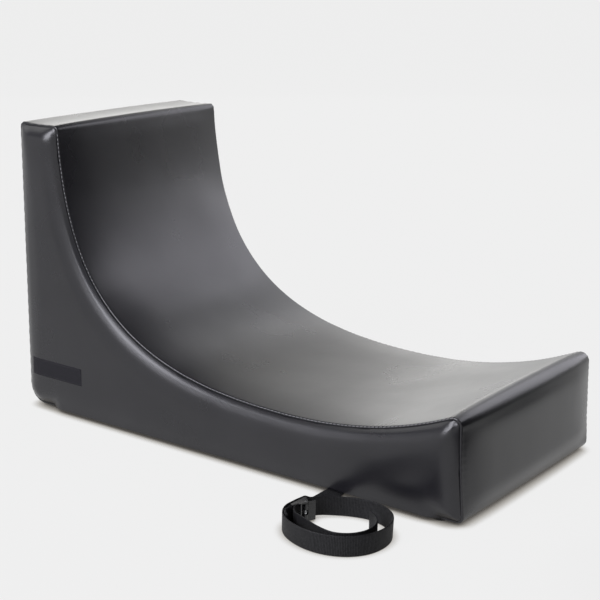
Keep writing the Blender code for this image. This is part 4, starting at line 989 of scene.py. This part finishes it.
def stage_floor():
    """A pale floor, a backdrop round it, a soft shadow, and painted shade in the glow at contact.
    """
    made = bpy.data.materials.new("paper")
    made.use_nodes = True
    tree = made.node_tree
    nodes, links = tree.nodes, tree.links
    nodes.clear()
    out = nodes.new("ShaderNodeOutputMaterial")
    diffuse = nodes.new("ShaderNodeBsdfDiffuse")
    diffuse.inputs["Color"].default_value = (PAPER, PAPER, PAPER, 1)
    # Painted shade: the glow darkens to a warm near-black where a piece is near, a painted contact
    # shadow.
    near = nodes.new("ShaderNodeAmbientOcclusion")
    near.samples = 12
    near.inputs["Distance"].default_value = PAINTED_SHADE_REACH
    ramp = nodes.new("ShaderNodeValToRGB")
    dark, light = ramp.color_ramp.elements
    dark.position = 0.12
    dark.color = (0.055, 0.05, 0.045, 1)
    light.position = 0.80
    light.color = (PAPER, PAPER, PAPER, 1)
    middle = ramp.color_ramp.elements.new(0.45)
    middle.color = (0.42, 0.40, 0.37, 1)
    links.new(near.outputs["AO"], ramp.inputs["Fac"])
    glow_with_painted_shade = nodes.new("ShaderNodeEmission")
    links.new(ramp.outputs["Color"], glow_with_painted_shade.inputs["Color"])
    path = nodes.new("ShaderNodeLightPath")
    first = nodes.new("ShaderNodeMath")
    first.operation = 'MAXIMUM'
    second = nodes.new("ShaderNodeMath")
    second.operation = 'MAXIMUM'
    part = nodes.new("ShaderNodeMath")
    part.operation = 'MULTIPLY'
    part.inputs[1].default_value = FLOOR_GLOW
    links.new(path.outputs["Is Camera Ray"], first.inputs[0])
    links.new(path.outputs["Is Glossy Ray"], first.inputs[1])
    links.new(first.outputs[0], second.inputs[0])
    links.new(path.outputs["Is Transmission Ray"], second.inputs[1])
    links.new(second.outputs[0], part.inputs[0])
    mix = nodes.new("ShaderNodeMixShader")
    links.new(part.outputs[0], mix.inputs["Fac"])
    links.new(diffuse.outputs[0], mix.inputs[1])
    links.new(glow_with_painted_shade.outputs[0], mix.inputs[2])
    links.new(mix.outputs[0], out.inputs["Surface"])
    turns = np.linspace(0, 2 * math.pi, BACKDROP_SIDES + 1)[:-1]
    rings = [[(FLOOR_REACH * math.cos(t), FLOOR_REACH * math.sin(t), z) for t in turns]
             for z in (0.0, BACKDROP_HEIGHT)]
    faces = [tuple(range(BACKDROP_SIDES))]
    for i in range(BACKDROP_SIDES):
        j = (i + 1) % BACKDROP_SIDES
        faces.append((i, j, j + BACKDROP_SIDES, i + BACKDROP_SIDES))
    stage_piece("floor", rings[0] + rings[1], faces, made)


def stage_cards():
    """The dark mat beside the paper and the card that stands on it."""
    look = grained("card_black", (0.010, 0.010, 0.010), (0.016, 0.016, 0.016), 0.9, 300.0, 0.0005)
    (x0, y0), (x1, y1) = CARD
    points = [(x, y, MAT_HEIGHT) for x, y in MAT]
    points += [(x0, y0, CARD_FOOT), (x1, y1, CARD_FOOT),
               (x1, y1, CARD_HEIGHT), (x0, y0, CARD_HEIGHT)]
    faces = [tuple(range(len(MAT))), tuple(range(len(MAT), len(points)))]
    stage_piece("dark_cards", points, faces, look, seen=False)


def softbox(name, direction, size, strength, colour):
    """An area light that faces the object from a direction; strength is its own brightness."""
    data = bpy.data.lights.new(name, 'AREA')
    data.shape = 'RECTANGLE'
    data.size, data.size_y = size
    data.energy = strength * math.pi * size[0] * size[1]
    data.color = colour
    lamp = bpy.data.objects.new(name, data)
    bpy.context.scene.collection.objects.link(lamp)
    away = Vector(direction).normalized()
    lamp.location = away * SOFTBOX_DISTANCE + Vector((0.0, 0.0, SOFTBOX_AIM))
    lamp.rotation_mode = 'QUATERNION'
    lamp.rotation_quaternion = away.to_track_quat('Z', 'Y')
    lamp.visible_camera = False


def light_scene():
    """Plain soft studio light."""
    world = bpy.data.worlds.new("studio")
    bpy.context.scene.world = world
    world.use_nodes = True
    back = world.node_tree.nodes["Background"]
    back.inputs["Color"].default_value = (1.0, 1.0, 1.0, 1)
    back.inputs["Strength"].default_value = WORLD_LEVEL
    for name, turn, rise, size, strength, colour in SOFTBOXES:
        level = math.cos(math.radians(rise))
        way = (math.cos(math.radians(turn)) * level, math.sin(math.radians(turn)) * level,
               math.sin(math.radians(rise)))
        softbox(name, way, size, strength, colour)


def dress_nodes(looks):
    """Give every CAD node a detailed material by the ending of its name."""
    endings = {"cover": "vinyl", "foam": "foam", "board": "plywood", "rib": "plywood",
               "deck": "plywood", "batten": "plywood", "pad": "pad_rubber", "tag": "webbing",
               "webbing": "webbing", "tab": "webbing", "frame": "buckle_plastic",
               "lever": "buckle_plastic"}
    for name, item in frame["nodes"].items():
        item.data.materials.clear()
        item.data.materials.append(looks[endings.get(name.split("_")[-1], "steel")])


def build():
    """Dress the arc."""
    bpy.context.scene.view_settings.view_transform = 'Standard'
    make_camera()
    # The strap's colour has painted light and shade across its ribs.
    webbing = woven("black_webbing", (0.0025, 0.0025, 0.003), (0.020, 0.020, 0.021),
                    0.50, 0.0011, 0.04, RIB_PITCH)
    skin = vinyl()
    looks = {
        "vinyl": skin,
        "foam": grained("cream_foam", (0.55, 0.52, 0.42), (0.68, 0.65, 0.55), 0.95, 900.0, 0.0004),
        "plywood": grained("birch_plywood", (0.52, 0.36, 0.20), (0.68, 0.50, 0.31), 0.55, 60.0,
                           0.0002, stretch=(1, 6, 6)),
        "pad_rubber": grained("pad_rubber", (0.012, 0.012, 0.012), (0.022, 0.022, 0.022), 0.85,
                              1400.0, 0.0002),
        "webbing": webbing,
        "buckle_plastic": grained("black_acetal", (0.012, 0.012, 0.013), (0.018, 0.018, 0.019),
                                  0.22, 1800.0, 0.00002),
        "steel": grained("zinc_steel", (0.52, 0.53, 0.55), (0.64, 0.65, 0.66), 0.32, 700.0,
                         0.00003, metallic=1.0),
    }
    dress_nodes(looks)
    band, centre, length = strap(webbing)
    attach(band, "arc")
    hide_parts("strap_webbing")
    tab = buckle_tab(webbing)
    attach(tab, "arc")
    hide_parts("buckle_tab")
    line = Outline()
    strip = main_cover(line, skin)
    far = side_cover("far_side_upholstery", 1, line, skin)
    near = side_cover("near_side_upholstery", -1, line, skin)
    covers = ((strip, "main_cover"), (far, "left_side_cover"), (near, "right_side_cover"))
    for piece, node in covers:
        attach(piece, "arc")
        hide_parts(node)
    # Grey thread whose light tone also paints the glint of the strip's edge.
    thread = grained("grey_thread_painted_glint", (0.18, 0.18, 0.19), (0.28, 0.28, 0.29), 0.45, 3000.0,
                     0.00003)
    dark_thread = grained("dark_thread", (0.012, 0.012, 0.013), (0.024, 0.024, 0.026), 0.55,
                          3000.0, 0.00003)
    # Near-black for the needle holes: painted shade.
    painted_hole_shade = grained("painted_needle_hole_shade", (0.0012, 0.0012, 0.0012), (0.002, 0.002, 0.002), 0.9,
                    3000.0, 0.00003)
    stitches, hole_shade_pieces = seam_stitches(line, thread, painted_hole_shade)
    tag, tag_stitches = label(near, woven("tag_weave", (0.005, 0.005, 0.007), (0.010, 0.009, 0.013),
                                          0.62, 0.0006, 0.02), dark_thread)
    for piece in (stitches, hole_shade_pieces, tag, tag_stitches):
        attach(piece, "arc")
    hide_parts("label_tag")
    stage_floor()
    stage_cards()
    light_scene()


build()
